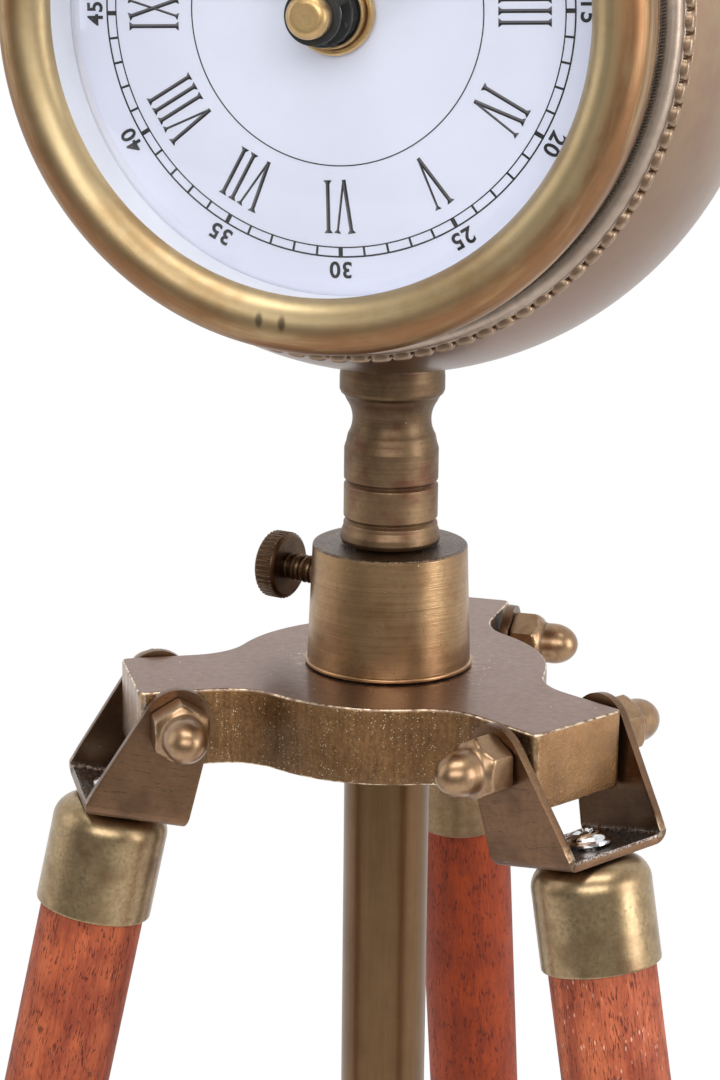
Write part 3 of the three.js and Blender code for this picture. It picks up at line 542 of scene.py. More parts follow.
@dataclass(frozen=True)
class GradedBrass(Brass):
    """The neck's brass, with painted shade: dark under the case and at the socket, and lighter between."""

    foot: float = 18.6
    low: float = 21.5
    high: float = 38.0

    def tint(self, graph: Graph, where: Wire, colour: Wire) -> Wire:
        """Paints shade on the brass by its height, with a redder cloud on one side.

        Args:
            graph: The material's tree.
            where: Place on the piece.
            colour: The colour so far.

        Returns:
            The changed colour.
        """
        red = graph.noise(where, 5.0, detail=3.0).above(0.5, 0.7) * 0.4
        colour = graph.blend(colour, (0.22, 0.09, 0.05), red)
        height = graph.height(where)
        # Painted shade at the foot, where the neck stands on the socket.
        colour = graph.scaled(colour, height.above(self.foot, self.low).spread(0.72, 1.0))
        # Painted shade towards the top, under the case.
        return graph.scaled(colour, height.above(self.low, self.high).spread(0.95, 0.56))


@dataclass(frozen=True)
class CastBrass(Brass):
    """The plate's brass: a smooth purplish top, grainy sides strewn with painted glints, and filed arm ends.
    """

    top: Colour = (0.255, 0.155, 0.115)
    filed: Colour = (0.5, 0.45, 0.42)
    dust: Colour = (0.8, 0.74, 0.66)
    # Colour of the painted glints: pale specks that stand in for the sparkle of the cast sides.
    sparkle: Colour = (1.0, 0.88, 0.62)
    arm_end: float = 38.3
    dusty_from: float = 12.0
    dusty_to: float = 21.0

    def tint(self, graph: Graph, where: Wire, colour: Wire) -> Wire:
        """Top, sides and filed ends each get their colour, and the sides their painted glints.

        Args:
            graph: The material's tree.
            where: Place on the piece.
            colour: The colour so far.

        Returns:
            The changed colour.
        """
        side = 1.0 - graph.height(where).above(-0.45, -0.15)
        out = graph.radius(where)
        streaks = graph.noise(graph.stretch(where, (1.0, 1.0, 0.16)), 0.6, detail=4.0, roughness=0.7)
        grain = graph.noise(where, 0.42, detail=3.0, roughness=0.7)
        cast = colour
        rough = graph.scaled(cast, (streaks * 0.5 + grain * 0.5).above(0.3, 0.68).spread(0.6, 1.3))
        colour = graph.blend(self.top, rough, side)
        left = 1.0 - graph.along(where, 0).above(-6.0, 6.0)
        filed = side * out.above(self.arm_end, self.arm_end + 0.08)
        lines = graph.noise(graph.stretch(where, (1.0, 1.0, 0.06)), 0.3, detail=3.0).above(0.42, 0.6)
        colour = graph.blend(colour, graph.scaled(cast, 1.25 + grain * 0.5), filed)
        colour = graph.blend(colour, self.filed, filed * lines * left.spread(0.03, 0.75))
        patch = graph.noise(where, 5.0, detail=3.0).above(0.35, 0.65).spread(0.25, 1.0)
        # Painted glints: pale specks on the sides, in patches, that stand in for sparkle.
        glint_specks = graph.specks(where, 0.34, 0.3, 0.4) * 0.8 + graph.specks(where, 0.8, 0.14, 0.25)
        colour = graph.blend(colour, self.sparkle, glint_specks * side * patch * (1.0 - filed * 0.85))
        near = 1.0 - out.above(self.dusty_from, self.dusty_to)
        dusty = graph.specks(where, 0.6, 0.26, 0.3) * near + graph.specks(where, 1.5, 0.12, 0.12) * 0.8
        scuffs = graph.noise(graph.stretch(where, (0.3, 2.4, 1.0)), 1.1, detail=3.0).above(0.72, 0.75)
        return graph.blend(colour, self.dust, (1.0 - side) * (dusty + scuffs * 0.5))

    def relief(self, graph: Graph, where: Wire) -> Wire:
        """Casting grain on the sides.

        Args:
            graph: The material's tree.
            where: Place on the piece.

        Returns:
            The relief, in millimetres.
        """
        side = 1.0 - graph.height(where).above(-0.45, -0.15)
        lumps = graph.noise(where, 0.4, detail=4.0, roughness=0.7)
        return lumps * side * 0.13


@dataclass(frozen=True)
class FoldedBrass(Brass):
    """A bracket's brass: painted shade inside the U, dusty on its floor, and scratched across its ears."""

    ear: float = 9.15
    floor: float = -14.4
    dust: Colour = (0.45, 0.42, 0.4)

    def tint(self, graph: Graph, where: Wire, colour: Wire) -> Wire:
        """Paints shade inside the U, scratches the ears and dusts the floor.

        Args:
            graph: The material's tree.
            where: Place on the piece.
            colour: The colour so far.

        Returns:
            The changed colour.
        """
        across = graph.sum("ABSOLUTE", graph.along(where, 0), 0.0)
        height = graph.height(where)
        between = 1.0 - across.above(self.ear - 0.1, self.ear + 0.1)
        inside = between * height.above(self.floor, self.floor + 0.2)
        # Painted shade: the inside of the U is darkened, where the bracket shades itself.
        colour = graph.scaled(colour, 1.0 - inside * 0.45)
        level = graph.stretch(where, (1.0, 0.22, 2.6))
        scratch = graph.noise(level, 0.8, detail=4.0, roughness=0.7)
        colour = graph.blend(colour, self.grime, scratch.above(0.6, 0.66) * 0.65)
        colour = graph.blend(colour, self.worn, scratch.above(0.69, 0.72) * 0.5)
        low = 1.0 - height.above(self.floor + 0.5, self.floor + 1.5)
        grit = graph.noise(where, 0.35, detail=3.0).above(0.42, 0.6)
        return graph.blend(colour, self.dust, inside * low * grit * 0.75)


@dataclass(frozen=True)
class Timber(Finish):
    """Reddish hardwood under thin lacquer, with short dark pores and pale worn flecks."""

    light: Colour
    deep: Colour
    pore: Colour
    pale: Colour
    age: float = 0.2

    def paint(self, graph: Graph) -> None:
        """Broad figure, fine grain, pores, flecks and scratches.

        Args:
            graph: The material's tree.
        """
        where = graph.form()
        figure = graph.noise(graph.stretch(where, (1.0, 1.0, 0.14)), 2.2, detail=5.0, roughness=0.7)
        blotch = graph.noise(where, 7.0, detail=4.0)
        grain = graph.noise(graph.stretch(where, (1.0, 1.0, 0.08)), 0.26, detail=4.0, roughness=0.75)
        lines = graph.noise(graph.stretch(where, (1.0, 1.0, 0.15)), 0.2, detail=1.0)
        gate = graph.noise(where, 2.4, detail=3.0)
        pores = (lines + gate * 0.5).above(0.86, 0.94)
        colour = graph.blend(self.light, self.deep, (figure * 0.6 + blotch * 0.4).above(0.36, 0.62))
        colour = graph.scaled(colour, grain.spread(0.35, 1.65))
        colour = graph.blend(colour, self.pore, pores * 0.75)
        flecks = graph.noise(graph.stretch(where, (1.0, 1.0, 0.35)), 0.55, detail=5.0, roughness=0.8)
        patches = graph.noise(where, 6.0, detail=3.0)
        worn = (flecks * 0.65 + patches * 0.35).above(0.6, 0.7)
        chips = graph.specks(graph.stretch(where, (1.0, 1.0, 0.4)), 0.5, 0.34, 0.3)
        chips = chips * patches.above(0.35, 0.6)
        colour = graph.blend(colour, self.pale, (worn + chips * 0.8) * (self.age * 0.75))
        graph.surface(
            {
                "Base Color": colour,
                "Roughness": grain.spread(0.45, 0.7) + pores * 0.2,
                "Specular IOR Level": 0.25,
                "Normal": graph.bump(grain * 0.04 - pores * 0.06 + flecks * (0.02 + 0.05 * self.age), 1.0),
                "Coat Weight": 0.04,
                "Coat Roughness": 0.3,
            }
        )


@dataclass(frozen=True)
class Paint(Finish):
    """Paint, print or moulded plastic: one colour with faint clouds and a fine orange peel."""

    colour: Colour
    roughness: float = 0.5
    clouds: float = 0.05
    peel: float = 0.01
    coat: float = 0.0

    def paint(self, graph: Graph) -> None:
        """Colour, clouds and peel.

        Args:
            graph: The material's tree.
        """
        where = graph.place()
        drift = graph.noise(where, 12.0, detail=3.0)
        peel = graph.noise(where, 0.4, detail=2.0)
        shade = tuple(min(1.0, part * (1.0 - self.clouds)) for part in self.colour)
        graph.surface(
            {
                "Base Color": graph.blend(self.colour, shade, drift.above(0.3, 0.7)),
                "Roughness": drift.spread(self.roughness - 0.06, self.roughness + 0.06),
                "Normal": graph.bump(peel, self.peel),
                "Coat Weight": self.coat,
                "Coat Roughness": 0.1,
            }
        )


@dataclass(frozen=True)
class Plated(Finish):
    """Bright or plain metal with fine scratches, such as chrome, steel or copper wire."""

    colour: Colour
    roughness: float = 0.12
    spacing: float = 0.3
    scratch: float = 0.003

    def paint(self, graph: Graph) -> None:
        """Metal with scratches and a slight haze.

        Args:
            graph: The material's tree.
        """
        where = graph.place()
        haze = graph.noise(where, 4.0, detail=4.0)
        scratches = graph.noise(graph.stretch(where, (1.0, 0.1, 1.0)), self.spacing, detail=2.0)
        dull = tuple(part * 0.72 for part in self.colour)
        graph.surface(
            {
                "Base Color": graph.blend(self.colour, dull, haze.above(0.4, 0.75)),
                "Metallic": 1.0,
                "Roughness": haze.spread(self.roughness * 0.6, self.roughness * 1.5),
                "Normal": graph.bump(scratches, self.scratch),
            }
        )


@dataclass(frozen=True)
class Crystal(Finish):
    """Clear domed glass: it lets the dial through and keeps a thin reflection."""

    tint: Colour = (0.995, 0.998, 1.0)
    ior: float = 1.45
    shine: float = 0.4
    haze: float = 0.06

    def paint(self, graph: Graph) -> None:
        """A clear body under a glossy skin, by the angle of view.

        Args:
            graph: The material's tree.
        """
        clear = graph.wire("ShaderNodeBsdfTransparent", {"Color": (*self.tint, 1.0)})
        skin = graph.wire("ShaderNodeBsdfGlossy", {"Color": WHITE, "Roughness": self.haze})
        share = graph.wire("ShaderNodeFresnel", {"IOR": self.ior})
        mixed = graph.wire("ShaderNodeMixShader", {0: share * self.shine, 1: clear, 2: skin})
        graph.node("ShaderNodeOutputMaterial", {"Surface": mixed})


@dataclass(frozen=True)
class Ground(Finish):
    """The pale floor: it keeps the shadow, and is white as a background beyond it."""

    colour: Colour = (0.7, 0.7, 0.71)
    shadow_end: float = 0.2
    white_from: float = 0.34
    lift: float = 0.3

    def paint(self, graph: Graph) -> None:
        """Diffuse near the clock; further off, white for the rays that show the background.

        Args:
            graph: The material's tree.
        """
        seen, mirrored, through = graph.rays("Camera", "Glossy", "Transmission")
        shown = graph.sum("MAXIMUM", graph.sum("MAXIMUM", seen, mirrored), through)
        where = graph.wire("ShaderNodeTexCoord", output="Object")
        far = graph.radius(where).above(self.shadow_end, self.white_from)
        base = graph.wire("ShaderNodeBsdfDiffuse", {"Color": (*self.colour, 1.0)})
        glow = graph.wire("ShaderNodeEmission", {"Color": WHITE, "Strength": self.lift})
        near = graph.wire("ShaderNodeAddShader", {0: base, 1: glow})
        white = graph.wire("ShaderNodeEmission", {"Color": WHITE, "Strength": 1.0})
        lifted = graph.wire("ShaderNodeMixShader", {0: shown, 1: base, 2: near})
        mixed = graph.wire("ShaderNodeMixShader", {0: shown * far, 1: lifted, 2: white})
        graph.node("ShaderNodeOutputMaterial", {"Surface": mixed})


class Palette:
    """Every finish of the clock."""

    case = DrumBrass("barrel_brass", (0.41, 0.29, 0.18), (0.32, 0.2, 0.14), (0.6, 0.48, 0.38),
                 cloud=26.0, roughness=0.36, spacing=0.5, mark_depth=0.003, contrast=0.05, mottling=0.12,
                 pits=0.01, glints=0.004, wear=0.05, coat=0.15)
    bezel = RolledBrass("bezel_brass", (0.47, 0.36, 0.2), (0.35, 0.235, 0.115), (0.75, 0.6, 0.38),
                        cloud=14.0, cover=0.55, roughness=0.43, spacing=0.5, mark_depth=0.003,
                        contrast=0.1, mottling=0.15, pits=0.012, glints=0.008, wear=0.2, coat=0.06)
    roll = Brass("band_brass", (0.42, 0.335, 0.27), (0.33, 0.255, 0.2), (0.6, 0.52, 0.44),
                 cloud=9.0, roughness=0.46, spacing=0.4, pits=0.05, wear=0.2, coat=0.06)
    beads = Brass("bead_brass", (0.3, 0.202, 0.13), (0.21, 0.137, 0.09), (0.6, 0.5, 0.38),
                  cloud=8.0, roughness=0.44, spacing=0.3, pits=0.03, wear=0.15, coat=0.25)
    knurl = Brass("knurl_brass", (0.13, 0.10, 0.075), (0.06, 0.045, 0.035), (0.34, 0.28, 0.22),
                  cloud=1.6, cover=0.7, roughness=0.5, spacing=0.3, pits=0.35, glints=0.16, wear=0.45)
    neck = GradedBrass("neck_brass", (0.265, 0.17, 0.094), (0.155, 0.08, 0.05), (0.75, 0.66, 0.52),
                       cloud=5.0, cover=0.55, roughness=0.47, spacing=0.26, mark_depth=0.014, contrast=0.25,
                       pits=0.12, glints=0.07, coat=0.05)
    socket = ToppedBrass("socket_brass", (0.36, 0.225, 0.115), (0.22, 0.12, 0.058), (0.8, 0.66, 0.46),
                         cloud=7.0, roughness=0.36, spacing=0.3, mark_depth=0.026, contrast=0.3,
                         pits=0.2, glints=0.09, coat=0.1)
    seam = Brass("seam_brass", (0.46, 0.27, 0.13), (0.32, 0.17, 0.08), (0.75, 0.55, 0.34), cloud=4.0,
                 roughness=0.32, glints=0.1)
    plate = CastBrass("plate_brass_cast", (0.22, 0.118, 0.05), (0.135, 0.07, 0.03), (0.85, 0.7, 0.48),
                      cloud=9.0, roughness=0.38, grain=Grain.NONE, spacing=0.6, pits=0.05, glints=0.02,
                      wear=1.0, coat=0.25)
    bracket = FoldedBrass("bracket_brass", (0.185, 0.103, 0.056), (0.112, 0.06, 0.034), (0.6, 0.46, 0.3),
                          cloud=7.0, roughness=0.38, grain=Grain.ACROSS, spacing=0.4, mark_depth=0.012,
                          pits=0.08, glints=0.02, wear=0.55, coat=0.15)
    ferrule = Brass("ferrule_brass", (0.37, 0.265, 0.145), (0.2, 0.125, 0.065), (0.62, 0.5, 0.33),
                    cloud=4.5, cover=0.5, roughness=0.33, spacing=0.4, contrast=0.1, mottling=0.7,
                    pits=0.1, glints=0.04, coat=0.15)
    # A darker copy of the ferrule brass: painted shade for the back leg's ferrule, which stands out of the
    # light.
    dull = Brass("dull_brass", (0.24, 0.16, 0.085), (0.14, 0.088, 0.048), (0.5, 0.4, 0.27),
                 cloud=4.5, roughness=0.42, spacing=0.4, contrast=0.1, mottling=0.5, coat=0.1)
    tube = Brass("tube_brass", (0.168, 0.094, 0.043), (0.128, 0.068, 0.029), (0.4, 0.3, 0.2),
                 cloud=14.0, roughness=0.36, grain=Grain.ALONG, spacing=0.5, mark_depth=0.006,
                 mottling=0.15, pits=0.02, glints=0.008, coat=0.15)
    nut = Brass("nut_brass", (0.34, 0.212, 0.115), (0.22, 0.122, 0.063), (0.6, 0.46, 0.28),
                (0.1, 0.06, 0.035), cloud=3.0, roughness=0.36, spacing=0.3, pits=0.06, glints=0.03,
                wear=0.3, coat=0.3)
    screw = Brass("clamp_brass", (0.12, 0.066, 0.034), (0.065, 0.036, 0.02), (0.24, 0.15, 0.08),
                  cloud=3.0, cover=0.6, roughness=0.42, spacing=0.4, pits=0.15, glints=0.03, wear=0.3,
                  coat=0.15)
    gold = Brass("gilt_brass", (0.72, 0.49, 0.225), (0.52, 0.31, 0.12), (0.95, 0.82, 0.55),
                 (0.14, 0.07, 0.025), cloud=3.0, roughness=0.4, spacing=0.4, mark_depth=0.002,
                 contrast=0.06, mottling=0.3, pits=0.01, glints=0.0, wear=0.3, coat=0.2)
    fresh_wood = Timber("red_hardwood", (0.42, 0.098, 0.036), (0.22, 0.038, 0.016), (0.045, 0.010, 0.007),
                        (0.5, 0.2, 0.1), age=0.15)
    deep_wood = Timber("red_hardwood_deep", (0.33, 0.046, 0.006), (0.21, 0.026, 0.004), (0.07, 0.012, 0.007),
                       (0.4, 0.12, 0.06), age=0.0)
    worn_wood = Timber("red_hardwood_worn", (0.47, 0.12, 0.05), (0.23, 0.042, 0.018), (0.05, 0.012, 0.009),
                       (0.78, 0.5, 0.36), age=1.0)
    dial = Paint("dial_paper", (0.76, 0.78, 0.90), roughness=0.55, clouds=0.03, peel=0.002)
    spacer = Paint("dial_surround", (0.88, 0.89, 0.93), roughness=0.5, peel=0.002)
    ink = Paint("dial_ink", (0.012, 0.010, 0.012), roughness=0.6, clouds=0.3, peel=0.002)
    # A lighter copy of the ink: painted light on the face of each numeral's roof that looks to the upper
    # left.
    ink_light = Paint("dial_ink_light", (0.12, 0.11, 0.115), roughness=0.6, clouds=0.2, peel=0.002)
    hand = Paint("hand_paint", (0.010, 0.011, 0.009), roughness=0.5, clouds=0.2, peel=0.006, coat=0.05)
    black = Paint("moulded_black", (0.02, 0.02, 0.021), roughness=0.5, clouds=0.2, peel=0.02)
    white = Paint("moulded_white", (0.74, 0.73, 0.69), roughness=0.45, clouds=0.1, peel=0.02)
    green = Paint("solder_mask", (0.03, 0.12, 0.05), roughness=0.35, clouds=0.3, peel=0.02, coat=0.3)
    jacket = Paint("cell_sleeve", (0.05, 0.052, 0.06), roughness=0.3, clouds=0.2, peel=0.004, coat=0.4)
    chrome = Plated("bright_chrome", (0.78, 0.79, 0.81), roughness=0.08)
    steel = Plated("plain_steel", (0.5, 0.5, 0.5), roughness=0.3, scratch=0.008)
    copper = Plated("enamelled_wire", (0.55, 0.2, 0.07), roughness=0.3, spacing=0.16, scratch=0.05)
    crystal = Crystal("domed_crystal")
    ground = Ground("studio_floor")


def placed(name: str, data: bpy.types.ID) -> bpy.types.Object:
    """A new object in the scene.

    Args:
        name: Its name.
        data: Its data.

    Returns:
        The object.
    """
    thing = bpy.data.objects.new(name, data)
    bpy.context.scene.collection.objects.link(thing)
    return thing


def evaluated(source: bpy.types.ID, *modifiers: tuple[str, dict]) -> Mesh:
    """A mesh or curve as a plain mesh, with modifiers applied.

    Args:
        source: Its data.
        modifiers: Type and settings of each, a node tree's inputs by their identifiers.

    Returns:
        A new mesh.
    """
    carrier = placed("carrier", source)
    for kind, settings in modifiers:
        modifier = carrier.modifiers.new(kind, kind)
        for title, value in settings.items():
            if hasattr(modifier, title):
                setattr(modifier, title, value)
            else:
                modifier[title] = value
    graph = bpy.context.evaluated_depsgraph_get()
    whole = carrier.evaluated_get(graph)
    result = bpy.data.meshes.new_from_object(whole, preserve_all_data_layers=True, depsgraph=graph)
    bpy.data.objects.remove(carrier)
    return result


class Recipe:
    """A geometry node tree with named inputs, run on an object made for it alone."""

    def __init__(self, name: str, inputs: dict[str, str]) -> None:
        """Makes the tree's sockets.

        Args:
            name: Name of the tree.
            inputs: Socket types by the names of the inputs.
        """
        self.tree = bpy.data.node_groups.new(name, "GeometryNodeTree")
        ends = {"Geometry": "NodeSocketGeometry", **inputs, "Material": "NodeSocketMaterial"}
        for title, kind in ends.items():
            self.tree.interface.new_socket(title, in_out="INPUT", socket_type=kind)
        self.tree.interface.new_socket("Geometry", in_out="OUTPUT", socket_type="NodeSocketGeometry")
        self.graph = Graph(self.tree)
        self.given = self.graph.node("NodeGroupInput")
        self.keys = {
            item.name: item.identifier
            for item in self.tree.interface.items_tree
            if item.in_out == "INPUT"
        }

    def input(self, title: str) -> Wire:
        """One of the tree's inputs."""
        return Wire(self.graph, self.given.outputs[title])

    def close(self, geometry: Wire) -> None:
        """Ends the tree: instances made real, then the material.

        Args:
            geometry: What the tree has made.
        """
        real = self.graph.wire("GeometryNodeRealizeInstances", {"Geometry": geometry})
        painted = {"Geometry": real, "Material": self.input("Material")}
        dressed = self.graph.wire("GeometryNodeSetMaterial", painted)
        self.graph.node("NodeGroupOutput", {0: dressed})

    def run(self, source: Mesh, finish: Finish, **values: float) -> Mesh:
        """Evaluates the tree on a mesh.

        Args:
            source: What goes into the Geometry input.
            finish: The finish of the result.
            values: The other inputs, spaces in their names written as underscores.

        Returns:
            A plain mesh.
        """
        settings = {"node_group": self.tree, self.keys["Material"]: finish.material()}
        for title, value in values.items():
            settings[self.keys[title.replace("_", " ")]] = value
        return evaluated(source, ("NODES", settings))


class Turning(Recipe):
    """Turns a profile about the Z axis, as a lathe does."""

    # Radius of the circle that carries the profile, which the profile's places allow for.
    CARRIER = 1.0

    def __init__(self) -> None:
        """Sweeps the profile round a circle and welds its poles."""
        super().__init__("turning", {"Segments": "NodeSocketInt"})
        graph = self.graph
        profile = graph.wire("GeometryNodeMeshToCurve", {0: self.input("Geometry")})
        sizes = {"Resolution": self.input("Segments"), "Radius": self.CARRIER}
        path = graph.wire("GeometryNodeCurvePrimitiveCircle", sizes)
        swept = graph.wire("GeometryNodeCurveToMesh", {"Curve": path, "Profile Curve": profile})
        welded = graph.wire("GeometryNodeMergeByDistance", {"Geometry": swept, "Distance": WELD})
        self.close(welded)

    def turn(self, points: Sequence[Point], finish: Finish, segments: int) -> Mesh:
        """Turns a profile.

        Args:
            points: Radius and height of each point; it closes on itself or runs from axis to axis.
            finish: The finish of the piece.
            segments: Sides of the round.

        Returns:
            The turned body.
        """
        on_axis = points[0][0] < ON_AXIS and points[-1][0] < ON_AXIS
        source = bpy.data.meshes.new("profile")
        places = [(radius - self.CARRIER, -height, 0.0) for radius, height in points]
        edges = [(i, i + 1) for i in range(len(points) - 1)]
        if not on_axis:
            edges.append((len(points) - 1, 0))
        source.from_pydata(places, edges, [])
        return self.run(source, finish, Segments=segments)


class RingOf(Recipe):
    """Sets copies of a small body, drawn at the origin with +X outwards, round the Z axis."""

    def __init__(self) -> None:
        """Puts an instance on each corner of a circle and turns it to face outwards."""
        super().__init__(
            "ring_of", {"Count": "NodeSocketInt", "Radius": "NodeSocketFloat", "Start": "NodeSocketFloat"}
        )
        graph = self.graph
        sizes = {"Vertices": self.input("Count"), "Radius": self.input("Radius")}
        circle = graph.wire("GeometryNodeMeshCircle", sizes)
        index = graph.wire("GeometryNodeInputIndex")
        angle = graph.sum("DIVIDE", index * math.tau, self.input("Count"))
        turned = graph.vector(z=angle)
        sockets = {"Points": circle, "Instance": self.input("Geometry"), "Rotation": turned}
        copies = graph.wire("GeometryNodeInstanceOnPoints", sockets)
        start = graph.vector(z=self.input("Start"))
        self.close(graph.wire("GeometryNodeTransform", {"Geometry": copies, "Rotation": start}))


class Thread(Recipe):
    """Winds a ridge of a screw thread up the Z axis."""

    def __init__(self) -> None:
        """Sweeps a small round section along a helix."""
        super().__init__(
            "thread",
            {"Turns": "NodeSocketFloat", "Radius": "NodeSocketFloat", "Height": "NodeSocketFloat",
             "Ridge": "NodeSocketFloat"},
        )
        graph = self.graph
        shape = {
            "Resolution": 28, "Rotations": self.input("Turns"), "Start Radius": self.input("Radius"),
            "End Radius": self.input("Radius"), "Height": self.input("Height"),
        }
        path = graph.wire("GeometryNodeCurveSpiral", shape)
        section = {"Resolution": 6, "Radius": self.input("Ridge")}
        ridge = graph.wire("GeometryNodeCurvePrimitiveCircle", section)
        swept = {"Curve": path, "Profile Curve": ridge, "Fill Caps": True}
        self.close(graph.wire("GeometryNodeCurveToMesh", swept))


def rounded(corners: Sequence[Corner], closed: bool = True) -> list[Point]:
    """Points of a profile with its corners rounded.

    Args:
        corners: The corners in order.
        closed: Whether the last corner joins the first.

    Returns:
        The points, with one more that holds the flat beside each fillet.
    """
    count = len(corners)
    pieces: list[list[Vector]] = []
    for i, (x, y, *fillet) in enumerate(corners):
        at = Vector((x, y))
        if not fillet or (not closed and i in (0, count - 1)):
            pieces.append([at])
            continue
        back = Vector(corners[i - 1][:2]) - at
        ahead = Vector(corners[(i + 1) % count][:2]) - at
        turn = math.pi - back.angle(ahead)
        if turn < STRAIGHT:
            pieces.append([at])
            continue
        room = FILLET_SHARE * min(back.length, ahead.length)
        reach = min(fillet[0] * math.tan(turn / 2), room)
        start = at + back.normalized() * reach
        end = at + ahead.normalized() * reach
        middle = (back.normalized() + ahead.normalized()).normalized()
        radius = reach / math.tan(turn / 2)
        centre = at + middle * (radius / math.cos(turn / 2))
        steps = max(2, math.ceil(turn / ARC_STEP))
        pieces.append([_on_arc(centre, start, end, j / steps) for j in range(steps + 1)])
    points: list[Vector] = []
    for i, piece in enumerate(pieces):
        points += piece
        if i == count - 1 and not closed:
            break
        follower = pieces[(i + 1) % count]
        run = follower[0] - piece[-1]
        if run.length > 3 * SUPPORT:
            if len(piece) > 1 or run.length > LONG_RUN:
                points.append(piece[-1] + run.normalized() * SUPPORT)
            if len(follower) > 1 or run.length > LONG_RUN:
                points.append(follower[0] - run.normalized() * SUPPORT)
    return [(point.x, point.y) for point in points]


def _on_arc(centre: Vector, start: Vector, end: Vector, share: float) -> Vector:
    """The point at a share of the way round a short arc.

    Args:
        centre: The arc's centre.
        start: Its first point.
        end: Its last point.
        share: 0 at the first point, 1 at the last.

    Returns:
        The point.
    """
    first, last = start - centre, end - centre
    angle = math.atan2(first.x * last.y - first.y * last.x, first.dot(last)) * share
    return centre + Matrix.Rotation(angle, 2) @ first


def arc(cx: float, cy: float, radius: float, first: float, last: float, steps: int) -> list[Corner]:
    """Points of a circular arc as plain corners.

    Args:
        cx: Centre.
        cy: Centre.
        radius: Radius.
        first: Angle of the first point, in degrees.
        last: Angle of the last point, in degrees.
        steps: Number of steps between them.

    Returns:
        The corners.
    """
    angles = [math.radians(first + (last - first) * i / steps) for i in range(steps + 1)]
    return [(cx + radius * math.cos(a), cy + radius * math.sin(a)) for a in angles]


def bowed(start: Point, end: Point, rise: float, steps: int) -> list[Corner]:
    """A shallow arc between two points that rises to the right of the way from one to the other.

    Args:
        start: First point.
        end: Last point.
        rise: Height of the arc over its chord; below 0 it sinks.
        steps: Number of steps.

    Returns:
        The corners.
    """
    first, last = Vector(start), Vector(end)
    half = (last - first).length / 2
    size = abs(rise)
    radius = (half * half + size * size) / (2 * size)
    along = (last - first).normalized()
    out = Vector((along.y, -along.x)) * math.copysign(1.0, rise)
    spread = math.asin(half / radius)
    middle = (first + last) / 2 - out * (radius - size)
    corners = []
    for i in range(steps + 1):
        a = spread * (2 * i / steps - 1)
        point = middle + along * (radius * math.sin(a)) + out * (radius * math.cos(a))
        corners.append((point.x, point.y))
    return corners


def mesh_of(
    points: Iterable[Sequence[float]], faces: Sequence[Sequence[int]], finish: Finish
) -> Mesh:
    """A mesh from points and faces.

    Args:
        points: Places in millimetres.
        faces: Corner numbers of each face.
        finish: Its finish.

    Returns:
        The mesh.
    """
    mesh = bpy.data.meshes.new("part")
    mesh.from_pydata([tuple(point) for point in points], [], [list(face) for face in faces])
    mesh.materials.append(finish.material())
    return mesh


def ringed(
    rings: Sequence[Point], shape: Callable[[float, float, float], float], segments: int, finish: Finish
) -> Mesh:
    """A body of rings round the Z axis whose radius may change round the ring.

    Args:
        rings: Radius and height of each ring, from the point below to the point above.
        shape: Gives the radius for an angle, the ring's radius and its height.
        segments: Corners of a ring.
        finish: Its finish.

    Returns:
        The closed body.
    """
    points = [(0.0, 0.0, rings[0][1])]
    for radius, height in rings[1:-1]:
        for i in range(segments):
            angle = math.tau * i / segments
            reach = shape(angle, radius, height)
            points.append((reach * math.cos(angle), reach * math.sin(angle), height))
    points.append((0.0, 0.0, rings[-1][1]))
    top = len(points) - 1
    layers = len(rings) - 2
    faces: list[tuple[int, ...]] = []
    for i in range(segments):
        j = (i + 1) % segments
        faces.append((0, 1 + j, 1 + i))
        for layer in range(layers - 1):
            low = 1 + layer * segments
            faces.append((low + i, low + j, low + segments + j, low + segments + i))
        last = 1 + (layers - 1) * segments
        faces.append((last + i, last + j, top))
    return mesh_of(points, faces, finish)


def prism(outline: Sequence[Point], low: float, high: float, finish: Finish) -> Mesh:
    """An outline in X and Y raised from one height to another.

    Args:
        outline: Corners of the outline.
        low: Lower height.
        high: Upper height.
        finish: Its finish.

    Returns:
        The closed body.
    """
    count = len(outline)
    points = [(x, y, low) for x, y in outline] + [(x, y, high) for x, y in outline]
    faces: list[tuple[int, ...]] = [tuple(reversed(range(count))), tuple(range(count, 2 * count))]
    faces += [(i, (i + 1) % count, count + (i + 1) % count, count + i) for i in range(count)]
    return mesh_of(points, faces, finish)


def bevel(width: float, segments: int, limit: float) -> tuple[str, dict]:
    """A bevel of the edges that turn by more than limit degrees."""
    size = {"width": width, "segments": segments, "limit_method": "ANGLE"}
    return ("BEVEL", {**size, "angle_limit": math.radians(limit)})


def softened(mesh: Mesh, width: float, segments: int = 2, limit: float = 35.0) -> Mesh:
    """A mesh with its sharp edges bevelled.

    Args:
        mesh: What is softened.
        width: Width of the bevel, in millimetres.
        segments: Steps across it.
        limit: Edges that turn by more degrees than this are bevelled.

    Returns:
        The new mesh.
    """
    return evaluated(mesh, bevel(width, segments, limit))


